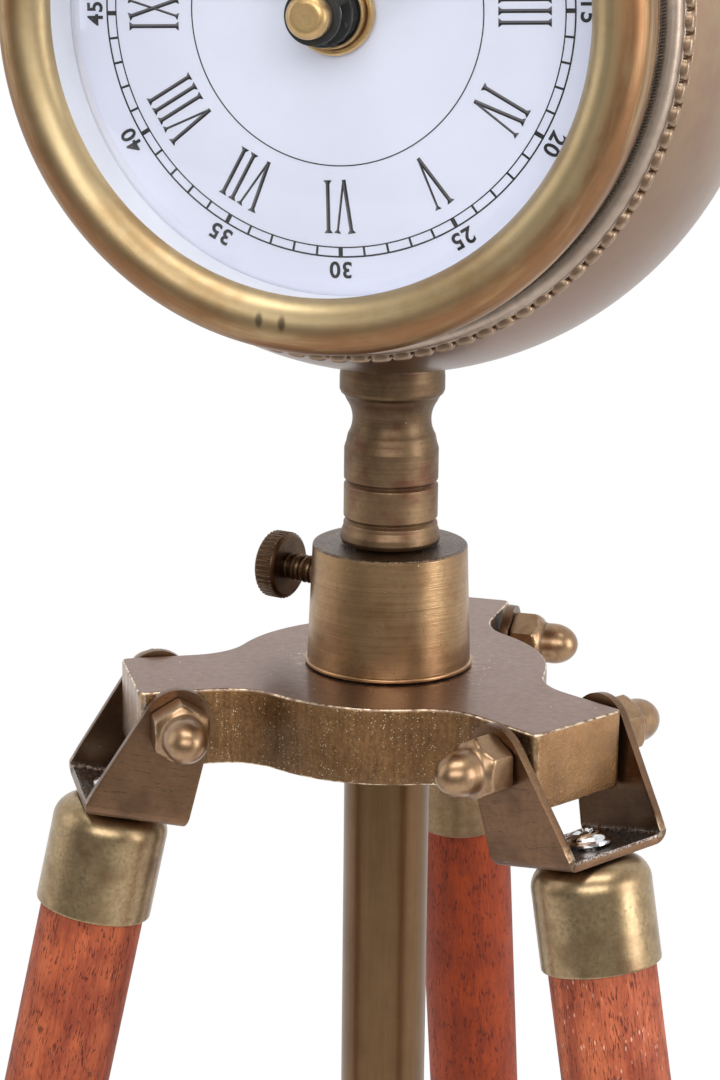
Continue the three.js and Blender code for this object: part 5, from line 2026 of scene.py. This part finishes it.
@dataclass
class MastWork(Work):
    """The turned neck, the socket, the mast rod, the tube and the clamping screw."""

    neck_foot: float = 18.4
    neck_length: float = 25.4
    neck_bore: float = 5.2
    collar: float = 7.6
    waist: float = 5.8
    neck_body: float = 6.85
    foot: float = 7.3
    groove: float = 6.3
    socket_height: float = 18.1
    socket_top: float = 11.3
    socket_foot: float = 12.0
    seam_radius: float = 12.3
    rod_radius: float = 4.9
    rod_length: float = 112.0
    rod_in_neck: float = 9.0
    tube_bore: float = 5.3
    tube_wall: float = 1.05
    tube_length: float = 118.0
    screw_radius: float = 2.1
    head_radius: float = 5.1
    head_thickness: float = 3.4
    stand_off: float = 5.5
    ribs: int = 40
    rib_inset: float = 0.4
    ridge: float = 0.34
    thread_pitch: float = 0.95

    def build(self, clamp: Matrix) -> None:
        """Builds and dresses what stands on the mast's axis.

        Args:
            clamp: The clamping screw's frame.
        """
        self.add("turned_neck", self.neck(), Slot.ANTIQUE, "neck_stem", body=Body.HEAD)
        self.add("mast_socket", self.socket(), Slot.ANTIQUE, "socket")
        self.add("sliding_rod", self.rod(), Slot.ANTIQUE, "mast_rod", body=Body.MAST)
        self.add("lower_tube", self.tube(), Slot.ANTIQUE, "centre_tube")
        self.add("clamp_screw", self.clamp(), Slot.ANTIQUE, "thumb_screw", body=Body.CLAMP, place=clamp)

    def neck(self) -> Mesh:
        """The neck: a foot ring, two grooved bands, a waist and a collar under the case.

        Returns:
            The mesh.
        """
        body, groove = self.neck_body, self.groove

        def ring(height: float) -> list[Corner]:
            """A narrow groove in the band."""
            return [(body, height - 0.45, 0.22), (groove, height, 0.1), (body, height + 0.45, 0.22)]

        into_case = self.neck_length + GAP + 1.15
        heights = [
            (0.0, self.rod_in_neck + GAP), (self.neck_bore, self.rod_in_neck + GAP),
            (self.neck_bore, 0.0), (self.foot - 0.25, 0.0, 0.2), (self.foot, 0.6, 0.3),
            (self.foot - 0.1, 1.5, 0.5), (body, 2.4, 0.6), *ring(3.4), *ring(9.0), (body, 13.9, 0.35),
            (body - 0.3, 14.9, 0.3), (body - 0.35, 15.2, 0.3),
            *bowed((self.waist + 0.55, 15.9), (self.waist + 0.75, 20.9), -0.75, 14),
            (self.waist + 1.15, 21.7, 0.5), (self.collar - 0.2, 22.1, 0.25), (self.collar, 22.6, 0.25),
            (self.collar, 24.4, 0.3), (self.collar - 0.2, into_case), (0.0, into_case),
        ]
        raised = [(radius, height + self.neck_foot, *fillet) for radius, height, *fillet in heights]
        return self.bench.turned(raised, Palette.neck, 128)

    def socket(self) -> list[Mesh]:
        """The socket on the plate, and the soldered seam round its foot.

        Returns:
            Its bodies.
        """
        bore = self.rod_radius + GAP
        sleeve = [
            (bore, GAP), (self.socket_foot - 0.3, GAP), (self.socket_foot, 0.6, 0.1),
            (self.socket_top, self.socket_height, 0.35), (bore, self.socket_height, 0.3),
        ]
        seam = [
            (self.socket_foot - 0.5, GAP - 0.05), (self.seam_radius, GAP - 0.05, 0.2),
            (self.seam_radius, 0.85, 0.25), (self.socket_foot - 0.5, 0.95),
        ]
        return [self.bench.turned(sleeve, Palette.socket, 160), self.bench.turned(seam, Palette.seam, 160)]

    def rod(self) -> Mesh:
        """The rod that the neck is fixed on.

        Returns:
            The mesh.
        """
        top = self.neck_foot + self.rod_in_neck
        low = top - self.rod_length
        corners = [(0.0, low), (self.rod_radius, low, 0.6), (self.rod_radius, top, 0.4), (0.0, top)]
        return self.bench.turned(corners, Palette.tube, 96)

    def tube(self) -> Mesh:
        """The tube under the plate, open below.

        Returns:
            The mesh.
        """
        outer = self.tube_bore + self.tube_wall
        corners = [
            (self.tube_bore, -self.tube_length, 0.2), (outer, -self.tube_length, 0.2), (outer, 0.0),
            (self.tube_bore, 0.0),
        ]
        return self.bench.turned(corners, Palette.tube, 96)

    def clamp(self) -> list[Mesh]:
        """The clamping screw: a threaded shank, and a round head with ribs on its rim.

        Returns:
            Its bodies.
        """
        near = self.socket_foot + self.stand_off
        far = near + self.head_thickness
        tip = self.rod_radius + GAP
        core = self.screw_radius - 0.35
        rim = self.head_radius - 0.2
        body = [
            (0.0, tip), (core - 0.4, tip, 0.1), (core, tip + 0.5, 0.1), (core, near - 0.1, 0.2),
            (rim - 0.45, near, 0.1), (rim, near + 0.35, 0.15), (rim, far - 0.4, 0.3),
            (rim - 0.5, far, 0.3), (rim - 1.2, far - 0.1, 0.3), (0.0, far - 0.15),
        ]
        length = self.head_thickness - 2 * self.rib_inset
        half = math.pi * self.head_radius / self.ribs * 0.62
        section = [(-0.15, -half), (0.08, -half * 0.7), (0.12, 0.0), (0.08, half * 0.7), (-0.15, half)]
        low = near + self.rib_inset
        rib = softened(prism(section, low, low + length, Palette.screw), 0.07, 1)
        ribs = self.bench.ring_of.run(rib, Palette.screw, Count=self.ribs, Radius=rim)
        seed = mesh_of([], [], Palette.screw)
        run = near - tip - 1.0
        sizes = {"Turns": run / self.thread_pitch, "Radius": core, "Height": run, "Ridge": self.ridge}
        thread = self.bench.thread.run(seed, Palette.screw, **sizes)
        thread.transform(Matrix.Translation((0.0, 0.0, tip + 0.6)))
        return [self.bench.turned(body, Palette.screw, 96), ribs, thread]


@dataclass
class PlateWork(Work):
    """The cast plate with its three arms."""

    thickness: float = 11.2
    disc_radius: float = 23.3
    arm_half: float = 8.7
    arm_end: float = 38.4
    fillet: float = 9.5
    bore: float = 6.65
    bore_sides: int = 48
    edge: float = 0.3
    round_steps: int = 4
    step: float = 1.6
    azimuths: tuple[float, ...] = (-60.0, 60.0, 180.0)

    def build(self) -> None:
        """Builds and dresses the plate."""
        self.add("cast_plate", self.casting(), Slot.PLATE, "tripod_plate")

    def outline(self) -> list[Vector]:
        """The plate's outline, its corners and the roots of its arms rounded, in short steps.

        Returns:
            The points.
        """
        reach = self.disc_radius + self.fillet
        across = self.arm_half + self.fillet
        along = math.sqrt(reach**2 - across**2)
        on_disc = math.degrees(math.atan2(across, along))
        corners: list[Corner] = []
        for azimuth in self.azimuths:
            turn = Matrix.Rotation(math.radians(azimuth - 90), 2)
            lower = arc(along, -across, self.fillet, 180 - on_disc, 90, 10)
            upper = arc(along, across, self.fillet, 270, 180 + on_disc, 10)
            end = [(self.arm_end, -self.arm_half, 1.0), (self.arm_end, self.arm_half, 1.0)]
            for x, y, *fillet in [*lower, *end, *upper]:
                corners.append((*(turn @ Vector((x, y))), *fillet))
            first = azimuth - 90 + on_disc + 2
            corners += arc(0.0, 0.0, self.disc_radius, first, azimuth + 30 - on_disc - 2, 26)
        points = [Vector(point) for point in rounded(corners)]
        fine: list[Vector] = []
        for i, point in enumerate(points):
            run = points[(i + 1) % len(points)] - point
            steps = max(1, round(run.length / self.step))
            fine += [point + run * (j / steps) for j in range(steps)]
        return fine

    def casting(self) -> Mesh:
        """The plate: its sides in rings, its edges rounded, its faces filled round the bore.

        Returns:
            The mesh.
        """
        outline = self.outline()
        count = len(outline)
        normals = []
        for i in range(count):
            tangent = (outline[(i + 1) % count] - outline[i - 1]).normalized()
            normals.append(Vector((tangent.y, -tangent.x)))
        edge, depth = self.edge, self.thickness
        turns = [math.pi / 2 * i / self.round_steps for i in range(1, self.round_steps + 1)]
        levels = [(edge + 0.2, 0.0), (edge, 0.0)]
        levels += [(edge * (1 - math.sin(a)), -edge * (1 - math.cos(a))) for a in turns]
        levels += [(0.0, -edge - (depth - 2 * edge) * i / 6) for i in range(1, 7)]
        levels += [(edge * (1 - math.cos(a)), -depth + edge * (1 - math.sin(a))) for a in turns]
        levels.append((edge + 0.2, -depth))
        shape = bmesh.new()
        rings = []
        for inset, height in levels:
            rings.append([
                shape.verts.new((point.x - normal.x * inset, point.y - normal.y * inset, height))
                for point, normal in zip(outline, normals)
            ])
        for upper, lower in zip(rings, rings[1:]):
            for i in range(count):
                j = (i + 1) % count
                shape.faces.new((upper[j], upper[i], lower[i], lower[j]))
        bores = []
        for height in (0.0, -depth):
            bores.append([
                shape.verts.new((self.bore * math.cos(a), self.bore * math.sin(a), height))
                for a in (math.tau * i / self.bore_sides for i in range(self.bore_sides))
            ])
        for i in range(self.bore_sides):
            j = (i + 1) % self.bore_sides
            shape.faces.new((bores[0][i], bores[0][j], bores[1][j], bores[1][i]))
        for outer, inner in ((rings[0], bores[0]), (rings[-1], bores[1])):
            edges = []
            for loop in (outer, inner):
                size = len(loop)
                for i in range(size):
                    pair = (loop[i], loop[(i + 1) % size])
                    edges.append(shape.edges.get(pair) or shape.edges.new(pair))
            bmesh.ops.triangle_fill(shape, use_beauty=True, use_dissolve=False, edges=edges)
        bmesh.ops.recalc_face_normals(shape, faces=shape.faces)
        mesh = bpy.data.meshes.new("plate")
        shape.to_mesh(mesh)
        shape.free()
        mesh.materials.append(Palette.plate.material())
        return mesh


@dataclass(frozen=True)
class LegKind:
    """What differs from leg to leg."""

    ferrule_length: float
    flare: float
    brass: Brass
    timber: Timber


LEG_KINDS = {
    "right": LegKind(15.0, 1.2, Palette.ferrule, Palette.worn_wood),
    "left": LegKind(16.2, 0.4, Palette.ferrule, Palette.fresh_wood),
    # The back leg's ferrule takes the darker copy of the ferrule brass, as painted shade.
    "back": LegKind(20.3, 0.8, Palette.dull, Palette.deep_wood),
}


@dataclass
class LegWork(Work):
    """One leg: bracket, screw, top ferrule, wood and foot, and the nuts of its pivot bolt."""

    side: str
    pivot: Matrix
    splay: float = 12.0
    arm_half: float = 8.2
    play: float = 0.4
    sheet: float = 1.3
    sheet_round: float = 0.24
    drop: float = 15.2
    bend: float = 1.8
    inner: float = 4.5
    outer: float = 10.6
    ear_radius: float = 5.0
    ear_lift: float = 0.5
    # Where the ear's round goes over into its straight edges, in degrees.
    outer_tangent: float = 24.0
    inner_tangent: float = 188.0
    # How far over the floor the ear's edges start to draw in, and by how much they do.
    knee: float = 2.0
    outer_cut: float = 1.1
    inner_cut: float = 0.9
    axis_offset: float = 4.6
    wood_radius: float = 7.6
    wood_length: float = 181.0
    ferrule_wall: float = 0.55
    ferrule_top: float = 1.5
    shoulder: float = 3.6
    cup: float = 12.0
    plug: float = 3.0
    flat: float = 0.8
    screw_head: float = 3.65
    screw_rise: float = 2.1
    screw_radius: float = 1.5
    screw_reach: float = 15.0
    recess_half: float = 0.5
    recess_reach: float = 1.9
    recess_depth: float = 0.9
    nut_flats: float = 7.8
    nut_hex: float = 4.6
    nut_dome: float = 3.15
    nut_length: float = 10.1
    sides: int = 96

    @property
    def half(self) -> float:
        """Half the width over the bracket."""
        return self.arm_half + self.play + self.sheet

    @property
    def top(self) -> float:
        """Top of the ferrule, along the leg from the pivot."""
        return -self.drop - GAP

    @property
    def wood_bottom(self) -> float:
        """Lower end of the wood."""
        return self.top - self.ferrule_top - GAP - self.wood_length

    @property
    def sleeve(self) -> float:
        """Outer radius of the ferrule and the foot."""
        return self.wood_radius + GAP + self.ferrule_wall

    def build(self) -> None:
        """Builds and dresses the leg."""
        side, kind = self.side, LEG_KINDS[self.side]
        axis = self.place @ Matrix.Translation((0.0, self.axis_offset, 0.0))
        self.add(f"bracket_{side}", self.bracket(kind.flare), Slot.ANTIQUE, f"leg_bracket_{side}")
        sleeve = self.ferrule(kind.ferrule_length, kind.brass)
        self.add(f"ferrule_{side}", sleeve, Slot.ANTIQUE, f"top_ferrule_{side}", place=axis)
        self.add(f"wood_{side}", self.wood(kind.timber), Slot.WOOD, f"wooden_leg_{side}", place=axis)
        self.add(f"shoe_{side}", self.foot(), Slot.ANTIQUE, f"foot_{side}", place=axis)
        self.add(f"cross_screw_{side}", self.screw(), Slot.CHROME, f"leg_screw_{side}", place=axis)
        reach = self.half + GAP + kind.flare
        for tail, turn in (("a", 90), ("b", -90)):
            outwards = Matrix.Rotation(math.radians(turn), 4, "Y") @ Matrix.Translation((0, 0, reach))
            place = self.pivot @ Matrix.Scale(MM, 4) @ outwards
            self.add(f"acorn_nut_{side}_{tail}", self.nut(), Slot.ANTIQUE, f"cap_nut_{side}_{tail}",
                     body=Body.STAND, place=place)

    def bracket(self, flare: float) -> Mesh:
        """The U bracket: one strip of sheet, down one ear, across and up the other.

        Args:
            flare: How far the ears stand out at the pivot, beyond square.

        Returns:
            The bracket.
        """
        middle = self.half - self.sheet / 2
        base = self.sheet / 2 - self.drop
        bend = self.bend - self.sheet / 2
        lift, radius = self.ear_lift, self.ear_radius
        heights = [lift + radius * math.sin(math.radians(a)) for a in (86, 78, 69, 60, 50, 40, 30)]
        heights += [2.2, 0.0, -3.0, -6.0, -9.0, -11.0, base + bend]
        ear = [(middle + flare * (1.0 - height / (base + bend)), height) for height in heights]
        turn = [
            (middle - bend + bend * math.cos(a), base + bend - bend * math.sin(a))
            for a in map(math.radians, (6, 16, 27, 38, 48, 59, 69, 80, 90))
        ]
        floor = [(x, base) for x in (6.5, 4.0, 2.0)]
        half_path = [*ear, *turn, *floor]
        path = [(-x, z) for x, z in half_path] + [(0.0, base)] + half_path[::-1]
        shares = [0.0, 0.035, 0.15, 0.3, 0.5, 0.7, 0.85, 0.965, 1.0]
        points = []
        for x, z in path:
            low, high = self._ear_span(z)
            points += [(x, low + (high - low) * share, z) for share in shares]
        width = len(shares)
        faces = []
        for i in range(len(path) - 1):
            for j in range(width - 1):
                a = i * width + j
                faces.append((a, a + 1, a + width + 1, a + width))
        wall = ("SOLIDIFY", {"thickness": self.sheet, "offset": 0.0})
        edges = bevel(self.sheet_round, 3, 55.0)
        return evaluated(mesh_of(points, faces, Palette.bracket), wall, edges)

    def _ear_span(self, height: float) -> Pair:
        """From where to where the sheet reaches, inwards and outwards, at a height of the ear.

        Args:
            height: Height over the pivot.

        Returns:
            The two ends.
        """
        lift, radius = self.ear_lift, self.ear_radius
        rise = max(-radius, min(radius, height - lift))
        chord = math.sqrt(radius**2 - rise**2)
        across = math.radians(self.outer_tangent)
        tangent = (radius * math.cos(across), lift + radius * math.sin(across))
        knee = self.knee - self.drop
        drawn_in = min(1.0, max(0.0, (knee - height) / self.knee)) ** 2
        if height >= tangent[1]:
            high = chord
        elif height <= knee:
            high = self.outer - self.outer_cut * drawn_in
        else:
            share = (height - knee) / (tangent[1] - knee)
            high = self.outer + (tangent[0] - self.outer) * share
        inner_tangent = lift + radius * math.sin(math.radians(self.inner_tangent))
        if height >= inner_tangent:
            low = -chord
        else:
            share = (inner_tangent - height) / (inner_tangent + self.drop)
            edge = -radius * math.cos(math.radians(self.inner_tangent))
            low = -edge + (edge - self.inner) * share + self.inner_cut * drawn_in
        return low, high

    def ferrule(self, length: float, brass: Brass) -> Mesh:
        """The cap over the top of the wood, with a large round shoulder.

        Args:
            length: Its length.
            brass: Its finish.

        Returns:
            The mesh.
        """
        hole = self.screw_radius + GAP
        bore = self.wood_radius + GAP
        top, bottom = self.top, self.top - length
        corners = [
            (hole, top - self.ferrule_top), (hole, top),
            *arc(self.sleeve - self.shoulder, top - self.shoulder, self.shoulder, 90, 0, 12),
            (self.sleeve - 0.02, top - self.shoulder - 1.0), (self.sleeve, bottom, 0.2),
            (bore, bottom, 0.1), (bore, top - self.ferrule_top, 0.4),
        ]
        return self.bench.turned(corners, brass, self.sides)

    def wood(self, timber: Timber) -> Mesh:
        """The turned leg.

        Args:
            timber: Its finish.

        Returns:
            The mesh.
        """
        top = self.top - self.ferrule_top - GAP
        hole = self.screw_radius + GAP
        deep = -self.drop - self.screw_reach - GAP
        corners = [
            (0.0, self.wood_bottom), (self.wood_radius, self.wood_bottom, 0.6),
            (self.wood_radius, top, 0.6), (hole, top), (hole, deep), (0.0, deep),
        ]
        return self.bench.turned(corners, timber, 64)

    def foot(self) -> Mesh:
        """The round shoe, with a small flat where it stands.

        Returns:
            The mesh.
        """
        bore = self.wood_radius + GAP
        step = self.wood_bottom - GAP
        centre = step - self.plug
        corners = [
            (0.0, step), (bore, step), (bore, step + self.cup, 0.1),
            (self.sleeve, step + self.cup, 0.2), *arc(0.0, centre, self.sleeve, 0, -90, 16),
        ]
        corners[-1] = (0.0, corners[-1][1])
        mesh = self.bench.turned(corners, Palette.ferrule, self.sides)
        lean = math.radians(self.splay)
        down = Vector((0.0, -math.sin(lean), -math.cos(lean)))
        floor = Vector((0.0, 0.0, centre)) + down * (self.sleeve - self.flat)
        shape = bmesh.new()
        shape.from_mesh(mesh)
        geometry = [*shape.verts, *shape.edges, *shape.faces]
        cut = bmesh.ops.bisect_plane(
            shape, geom=geometry, dist=1e-5, plane_co=floor, plane_no=down, clear_outer=True
        )
        rim = [item for item in cut["geom_cut"] if isinstance(item, bmesh.types.BMEdge)]
        bmesh.ops.edgeloop_fill(shape, edges=rim)
        shape.to_mesh(mesh)
        shape.free()
        return mesh

    def screw(self) -> Mesh:
        """The pan-head screw on the bracket's floor, with a cross recess.

        Returns:
            The mesh.
        """
        seat = -self.drop + self.sheet + GAP
        crown = seat + self.screw_rise
        head = self.screw_head
        tip, rim = -self.drop - self.screw_reach, seat + 0.85
        rings = [(0.0, tip), (0.3, tip + 0.4), (self.screw_radius, tip + 2.5), (self.screw_radius, seat),
                 (head - 0.2, seat), (head, seat + 0.2), (head, seat + 0.55), (head - 0.25, seat + 0.75),
                 (head - 0.5, rim)]
        for a in map(math.radians, (8, 20, 34, 48, 60, 70, 78, 84)):
            rings.append((head * 0.84 * math.cos(a), rim + (crown - rim) * math.sin(a)))
        rings.append((0.0, crown))
        body = ringed(rings, lambda _angle, radius, _height: radius, 64, Palette.chrome)
        for vertex in body.vertices:
            across, reach = sorted((abs(vertex.co.x), abs(vertex.co.y)))
            side, end = self.recess_half - across, self.recess_reach - reach
            if vertex.co.z > seat + 0.9 and side > 0.0 and end > 0.0:
                vertex.co.z -= self.recess_depth * min(1.0, side * 5.0) * min(1.0, end * 3.0)
        return body

    def nut(self) -> Mesh:
        """An acorn nut: a chamfered hexagon, a neck and a round dome.

        Returns:
            The mesh.
        """
        flat = self.nut_flats / 2
        corner = flat / math.cos(math.radians(30))

        def hexagon(angle: float, radius: float, height: float) -> float:
            """The ring's radius, cut back to the hexagon's flats."""
            across = flat / math.cos((angle % math.radians(60)) - math.radians(30))
            return min(radius, across) if height <= self.nut_hex else radius

        dome, tall = self.nut_dome, self.nut_dome * 1.2
        centre = self.nut_length - tall
        rings = [(0.0, 0.0), (flat - 0.1, 0.0), (corner - 0.15, 0.12), (corner, 0.3), (corner, 0.6)]
        rings += [(corner, h) for h in (1.6, 2.6, 3.3)]
        rings += [(corner - 0.08, 3.6), (corner - 0.25, 3.85), (flat - 0.02, 4.15), (flat - 0.35, 4.4)]
        rings += [(flat - 0.55, 4.6), (dome + 0.12, 4.72), (dome + 0.02, 4.95), (dome - 0.02, 5.4)]
        rings += [
            (dome * math.cos(a), centre + tall * math.sin(a))
            for a in map(math.radians, range(0, 90, 10))
        ]
        rings.append((0.0, self.nut_length))
        return ringed(rings, hexagon, 72, Palette.nut)


class Inside:
    """The pieces of the frame that keep their shape and take a finish of their own."""

    finishes: dict[Finish, tuple[str, ...]] = {
        Palette.steel: ("pivot_bolt_right", "pivot_bolt_left", "pivot_bolt_back", "stem_nut", "motor_stator",
                        "rotor", "contact_positive", "contact_negative"),
        Palette.black: ("movement_base", "movement_cover", "setting_knob"),
        Palette.white: ("intermediate_wheel", "second_wheel", "third_wheel", "centre_wheel", "minute_wheel",
                        "hour_wheel"),
        Palette.green: ("circuit_board",),
        Palette.copper: ("motor_coil",),
        Palette.jacket: ("battery",),
    }

    def build(self) -> None:
        """Gives each piece its finish."""
        for finish, names in self.finishes.items():
            for name in names:
                node = frame["nodes"][name]
                node.data.materials.clear()
                node.data.materials.append(finish.material())
                log.info("%s: %s", name, finish.name)


@dataclass
class Lamp:
    """A soft box of the studio."""

    name: str
    place: Triple
    size: Pair
    power: float


@dataclass
class Studio:
    """Floor, world, lamps and camera, whose place is in millimetres and whose angles are in radians."""

    camera_at: Triple = (109.40, -370.38, 116.93)
    yaw: float = 0.2986
    pitch: float = 0.2499
    roll: float = -0.0114
    focal_pixels: float = 2735.70
    frame_pixels: float = 1080.0
    sensor: float = 36.0
    floor_front: float = -0.5
    floor_reach: float = 6.0
    ambient: float = 0.5
    dim: float = 0.25
    aim_height: float = 40.0
    lamps: tuple[Lamp, ...] = field(
        default_factory=lambda: (
            Lamp("left_window", (-1.0, -0.35, 0.6), (0.6, 0.9), 2.0),
            Lamp("right_window", (1.0, -0.15, 0.38), (0.4, 0.6), 4.5),
            Lamp("front_box", (0.3, -1.15, 0.75), (1.2, 0.5), 8.8),
            Lamp("ceiling", (0.1, -0.35, 1.25), (0.9, 0.4), 7.0),
        )
    )

    def build(self, mast: Matrix) -> None:
        """Sets up the studio.

        Args:
            mast: The mast's frame, which the camera's place is measured in.
        """
        self.floor()
        self.world()
        target = mast @ Vector((0.0, 0.0, self.aim_height))
        for lamp in self.lamps:
            self.lamp(lamp, target)
        self.camera(mast)
        bpy.context.scene.view_settings.view_transform = "Standard"

    def floor(self) -> None:
        """A wide plain table top; its front edge is just before the clock, with a dark room beyond."""
        front, reach = self.floor_front, self.floor_reach
        mesh = bpy.data.meshes.new("floor")
        corners = [(-reach, front, 0.0), (reach, front, 0.0), (reach, reach, 0.0), (-reach, reach, 0.0)]
        mesh.from_pydata(corners, [], [(0, 1, 2, 3)])
        mesh.materials.append(Palette.ground.material())
        placed("floor", mesh)

    def world(self) -> None:
        """White where it is only seen, a room with a bright back wall in reflections, soft light."""
        world = bpy.data.worlds.new("studio")
        world.use_nodes = True
        world.node_tree.nodes.clear()
        graph = Graph(world.node_tree)
        seen, mirrored = graph.rays("Camera", "Glossy")
        direction = graph.wire("ShaderNodeTexCoord", output="Generated")
        back = graph.along(direction, 1).above(-0.75, 0.55)
        room = back.spread(self.dim, 1.0)
        strength = seen + (1.0 - seen) * (mirrored * room + (1.0 - mirrored) * self.ambient)
        sky = graph.wire("ShaderNodeBackground", {"Color": WHITE, "Strength": strength})
        graph.node("ShaderNodeOutputWorld", {"Surface": sky})
        bpy.context.scene.world = world

    def lamp(self, lamp: Lamp, target: Vector) -> None:
        """Hangs a soft box that faces the clock.

        Args:
            lamp: The soft box.
            target: What it faces.
        """
        light = bpy.data.lights.new(lamp.name, "AREA")
        light.shape = "RECTANGLE"
        light.size, light.size_y = lamp.size
        light.energy = lamp.power
        holder = placed(lamp.name, light)
        holder.location = lamp.place
        aim = target - Vector(lamp.place)
        holder.rotation_euler = aim.to_track_quat("-Z", "Y").to_euler()

    def camera(self, mast: Matrix) -> None:
        """Sets the camera at the photograph's angle.

        Args:
            mast: The mast's frame, which its place is measured in.
        """
        yaw, pitch, roll = self.yaw, self.pitch, self.roll
        ahead = Vector((-math.sin(yaw) * math.cos(pitch), math.cos(yaw) * math.cos(pitch), -math.sin(pitch)))
        level = Vector((math.cos(yaw), math.sin(yaw), 0.0))
        down = ahead.cross(level)
        right = level * math.cos(roll) + down * math.sin(roll)
        up = level * math.sin(roll) - down * math.cos(roll)
        basis = Matrix((right, up, -ahead)).transposed().to_4x4()
        lens = bpy.data.cameras.new("camera")
        lens.sensor_width = self.sensor
        lens.lens = self.focal_pixels / self.frame_pixels * self.sensor
        lens.clip_start = 0.01
        lens.clip_end = 50.0
        camera = placed("camera", lens)
        camera.matrix_world = Matrix.Translation(mast @ Vector(self.camera_at)) @ basis
        bpy.context.scene.camera = camera


def main() -> None:
    """Builds the clock piece by piece, then the studio, and logs the pieces made."""
    logging.basicConfig(level=logging.INFO, format="%(name)s %(message)s")
    bench = Bench()
    places = Places.read(LegWork.splay)
    Studio().build(places.mast)
    for work in (CaseWork, DialFace, HandWork):
        work(bench, places.head, Body.HEAD).build()
    MastWork(bench, places.mast, Body.STAND).build(places.clamp)
    PlateWork(bench, places.mast, Body.STAND).build()
    for side, (pivot, lean) in places.legs.items():
        LegWork(bench, pivot @ lean, Body(f"leg_{side}"), side, pivot).build()
    Inside().build()
    log.info("%d pieces made", bench.made)


if __name__ == "__main__":
    main()
